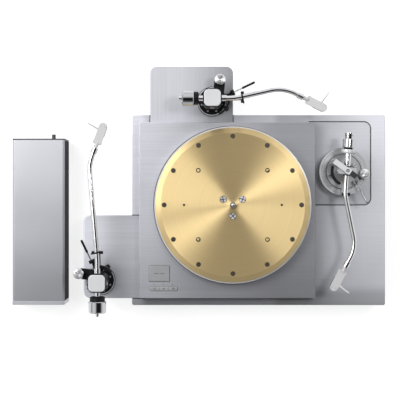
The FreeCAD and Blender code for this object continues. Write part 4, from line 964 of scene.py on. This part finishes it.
def make_knob(arm, place, radius, bottom, top, heading):
    """A knurled knob with a spun, slightly dished top and a dark pointer notch."""
    body = arm + "_knob"
    profile = [
        (radius - 1.6, bottom), (radius - 0.4, bottom + 0.8), (radius, bottom + 1.6),
        (radius, top - 2.4), (radius - 0.3, top - 1.6), (radius - 1.2, top - 0.6),
        (radius - 2.0, top - 0.2), (radius - 2.8, top - 0.5), (radius * 0.35, top - 0.8),
        (0.5, top - 0.7),
    ]
    matrix = upright(place, heading)
    knob = compound(arm + "_knob_grip", body, CHROME,
                    [(lathe(profile, 96, (2, 3), 0.45), matrix)], 40.0)
    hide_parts(arm + "_arm_antiskate_knob")
    tone = 0.5 if arm == "right" else 0.7
    spun = turned_metal(
        "knob spun " + arm, (tone, tone, tone * 1.01), place, 0.34, 0.85, 2200.0, 0.05, 0.1)
    face = [(radius - 1.3, top - 1.5), (radius - 1.3, top - 0.5), (radius - 2.0, top - 0.08),
            (radius * 0.4, top - 0.45), (0.4, top - 0.45)]
    compound(arm + "_knob_face", body, spun, [(lathe(face), matrix)], 40.0)
    notch = bar(radius * 0.28, 0.7, 0.5, top - 0.9, top - 0.05)
    compound(arm + "_knob_notch", body, INK, [(notch, matrix @ moved(radius * 0.55, 0, 0))])


def make_lever(arm, place, height, heading, grip_material):
    """The cue lever: a hub, a thin rod that rises, and a tapered round grip with a rounded end."""
    body = arm + "_lever"
    matrix = place_matrix((*place, height), heading)
    leaned = matrix @ turned("Y", -17.0)
    hub = spin_x([(2.6, -3.0), (3.5, -2.4), (3.5, 2.4), (2.6, 3.0)], 32)
    rods = [(spin_x([(1.3, 2.4), (1.3, 22.6)], 20), leaned)]
    grips = []
    (grips if grip_material is BLACK else rods).append((hub, matrix @ turned("Z", 90)))
    lever = compound(arm + "_lever_rod", body, GREY, rods)
    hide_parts(arm + "_arm_cue_lever")
    grip = spin_x([(1.4, 21.8), (2.1, 22.2), (2.4, 23.4), (2.2, 30.0), (2.4, 46.0), (2.3, 49.4),
                   (1.6, 50.6), (0.4, 51.0)], 28)
    compound(arm + "_lever_grip", body, grip_material, grips + [(grip, leaned)])


def make_weight(arm, taper, plated, stripe):
    """A counterweight in three parts: a black taper, a plated drum and a black band."""
    body = arm + "_weight"
    matrix = arm_matrix(arm)
    compound(arm + "_weight_front", body, BLACK,
             [(spin_x(taper, 64), matrix), (spin_x(stripe, 64), matrix)])
    drum = compound(arm + "_weight_drum", body, DRUM, [(spin_x(plated, 64), matrix)])
    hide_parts(arm + "_arm_counterweight")


def bearing_screws(arm, profile):
    """Screw heads at both ends of the arm's level axis."""
    return [(spin_x(profile, 40), arm_matrix(arm) @ turned("Z", 90 * side)) for side in (-1, 1)]


def dress_black_arm(arm, radius):
    """What the rear and left arms have alike, with counterweights of a radius of their own."""
    pivot = ARMS[arm]["pivot"]
    heading = ARMS[arm]["heading"]
    make_knob(arm, arm_place(arm, (16.0, 41.0)), 11.5, 132.6, 145.3, heading + 60)
    make_lever(arm, arm_place(arm, (42.0, 13.5)), 149.98, heading + 24.0, BLACK)
    make_weight(
        arm,
        [(radius - 5.0, -27.6), (radius - 3.4, -28.4), (radius - 2.6, -29.4), (radius - 2.6, -36.6),
         (radius - 3.4, -37.4)],
        [(radius - 2.6, -37.3), (radius - 0.8, -37.8), (radius, -39.0), (radius, -59.4),
         (radius - 1.2, -60.8), (radius * 0.45, -61.0)],
        [(radius - 2.2, -60.6), (radius - 1.4, -60.8), (radius - 1.4, -61.2), (radius - 2.2, -61.4)])
    flange = lathe([(30.2, 94.0), (30.8, 94.6), (30.8, 96.6), (30.2, 97.2), (26.0, 97.2)], 96)
    compound(arm + "_base_flange", "deck", BLACK, copies(flange, [pivot]))
    ring = lathe([(28.0, 97.0), (29.6, 97.0), (29.5, 98.2), (28.1, 98.2), (28.0, 97.0)], 96)
    band(arm + "_base_ring", "deck", CAP, copies(ring, [pivot]))
    compound(arm + "_bearing_cups", arm + "_yoke", CHROME,
             bearing_screws(arm, [(4.6, 18.6), (4.6, 19.7), (4.0, 20.2), (2.2, 20.2), (1.6, 19.4)]))
    level = arm_matrix(arm, height=0)
    outline = [(2.0, 12.0), (24.0, 10.0), (27.2, 39.0), (24.5, 46.4), (16.0, 50.0), (8.0, 46.8),
               (4.6, 40.0)]
    bracket = [[(x, y, height) for x, y in outline] for height in (122.6, 128.2)]
    compound(arm + "_knob_bracket", arm + "_pillar", BLACK, [(bracket, level)])
    compound(arm + "_rest_tab", arm + "_tube", BLACK,
             [(bar(1.6, 12.0, 0.7, 174.9, 176.4), level @ (moved(61.0, 0.8, 0) @ turned("Z", 12)))])
    compound(arm + "_base_screws", "deck", SATIN,
             copies(lathe([(1.9, 111.4), (1.9, 112.3), (1.2, 112.8)], 24),
                    [polar(22.6, heading + angle, pivot) for angle in (-68.0, -112.0, -158.0, -22.0)]))


for arm in ARMS:
    make_shell(arm)
    make_collar(arm)
dress_black_arm("rear", 16.0)
dress_black_arm("left", 18.0)


# Right arm

RIGHT = ARMS["right"]["pivot"]
make_knob("right", (RIGHT[0] + 40.7, RIGHT[1] - 4.6), 10.4, 127.1, 139.8, 200)
make_lever("right", (RIGHT[0] + 24.0, RIGHT[1] - 21.0), 133.96, -64.0, GREY)
RING_TOP = 119.3
RING_MARKS = 72
MARK_START = 38.0
ring_marks = []
for index in range(RING_MARKS):
    length = 3.4 if index % 6 == 0 else 1.8
    ring_marks.append((bar(length / 2, 0.4, 0.2, RING_TOP - 0.2, RING_TOP + 0.04, 2),
                       upright(RIGHT, 360 * index / RING_MARKS) @ moved(MARK_START + length / 2, 0, 0)))
compound("height_ring_marks", "right_ring", INK, ring_marks)
ring_grip = lathe([(48.8, 103.0), (50.0, 103.6), (50.0, 115.4), (48.8, 116.0), (48.8, 103.0)],
                  200, (1, 2), 0.5)
band("height_ring_grip", "right_ring", SATIN, copies(ring_grip, [RIGHT]))
# The inner dark band is a painted shadow in the gap round the stage; the outer is a thin dark line.
band("height_ring_line", "right_ring", INK,
     copies(ring_band(35.9, 37.2, RING_TOP - 0.4, RING_TOP + 0.06, 120), [RIGHT])
     + copies(ring_band(45.2, 45.6, RING_TOP - 0.2, RING_TOP + 0.06, 120), [RIGHT]))
lift_screw = (RIGHT[0] + 21.3, RIGHT[1] + 12.3)
compound("lift_screw_head", "right_stage", SATIN,
         copies(lathe([(4.7, 134.2), (5.0, 134.5), (5.0, 136.0), (4.4, 136.5)], 48), [lift_screw]))
# A dark bar on the screw's top: a painted shade for its slot.
compound("lift_screw_slot", "right_stage", INK,
         [(bar(4.3, 0.55, 0.2, 136.3, 136.56), upright(lift_screw, 35))])
gimbal_head = lathe([(4.2, 179.0), (4.2, 182.3), (3.6, 182.8), (1.4, 182.8)], 40)
compound("gimbal_screws", "right_gimbal", CHROME,
         bearing_screws("right", [(4.4, 17.6), (4.4, 18.9), (3.8, 19.4), (2.0, 19.4), (1.4, 18.7)])
         + copies(gimbal_head, [arm_place("right", (3.0, -14.4))]))
make_weight(
    "right",
    [(8.0, -42.7), (8.6, -43.0), (8.6, -46.8), (8.0, -47.0)],
    [(10.6, -46.9), (11.6, -47.3), (12.2, -48.2), (12.2, -63.6), (11.4, -64.4), (8.4, -64.7),
     (8.5, -65.0), (8.5, -77.0), (7.6, -78.2), (3.0, -78.4)],
    [(8.2, -71.0), (8.6, -71.2), (8.6, -72.0), (8.2, -72.2)])
DIAL_MARKS = 36
DIAL_FRONT = -36.0
dial_marks = []
for index in range(DIAL_MARKS):
    length = 4.0 if index % 3 == 0 else 2.2
    spun_round = turned("X", 360 * index / DIAL_MARKS)
    dial_marks.append((bar(length / 2, 0.28, 0.1, 13.9, 14.06, 2),
                       arm_matrix("right") @ spun_round @ moved(DIAL_FRONT - length / 2, 0, 0)))
compound("force_dial_marks", "right_dial", INK, dial_marks)


# Feet, control box and sockets

FEET = [(x, y) for x in (-83.5, 335.5) for y in (-186.1, 100.9)]
GROOVE_WIDTH = 1.2
# Dark bands in the feet's grooves: painted shade.
foot_groove_shadow_bands = []
for foot in FEET:
    for height in (13.0, 16.0, 19.0):
        foot_groove_shadow_bands += copies(ring_band(30.6, 31.12, height, height + GROOVE_WIDTH, 96), [foot])
band("foot_grooves", "deck", INK, foot_groove_shadow_bands)
side_head = spin_x([(3.4, -0.4), (3.4, 0.9), (2.8, 1.5), (1.5, 1.5), (1.3, 0.7)], 36)
compound("case_side_screws", "deck", SCREW,
         [(side_head, place_matrix((-281.5, y, 15.0))) for y in (-165.1, 39.9)])
BOX_FRONT = -242.1
BOX_MIDDLE = 38.0
WINDOW_X = -319.5
to_front = turned("X", 90)
number("display_number", "33.3", "deck", 9.0,
       place_matrix((WINDOW_X, BOX_FRONT + 0.2, BOX_MIDDLE)) @ to_front, CAP)
band("window_frame", "deck", SATIN,
     [(frame_rings(20.2, 7.2, 1.2, 0.8, -0.2, 0.5),
       place_matrix((WINDOW_X, BOX_FRONT, BOX_MIDDLE)) @ to_front)])
band("power_button_ring", "deck", SATIN,
     [(ring_band(8.6, 9.8, -0.3, 0.5, 64), place_matrix((-367.5, BOX_FRONT, BOX_MIDDLE)) @ to_front)])
blade = [rounded(1.1, 2.4, 0.4, 0.0), rounded(1.1, 2.4, 0.4, 16.0), rounded(0.7, 1.8, 0.3, 17.0)]
compound("inlet_blades", "deck", SCREW,
         [(blade, place_matrix((x, 95.0, BOX_MIDDLE)) @ turned("X", -90))
          for x in (-368.5, -361.5, -354.5)])
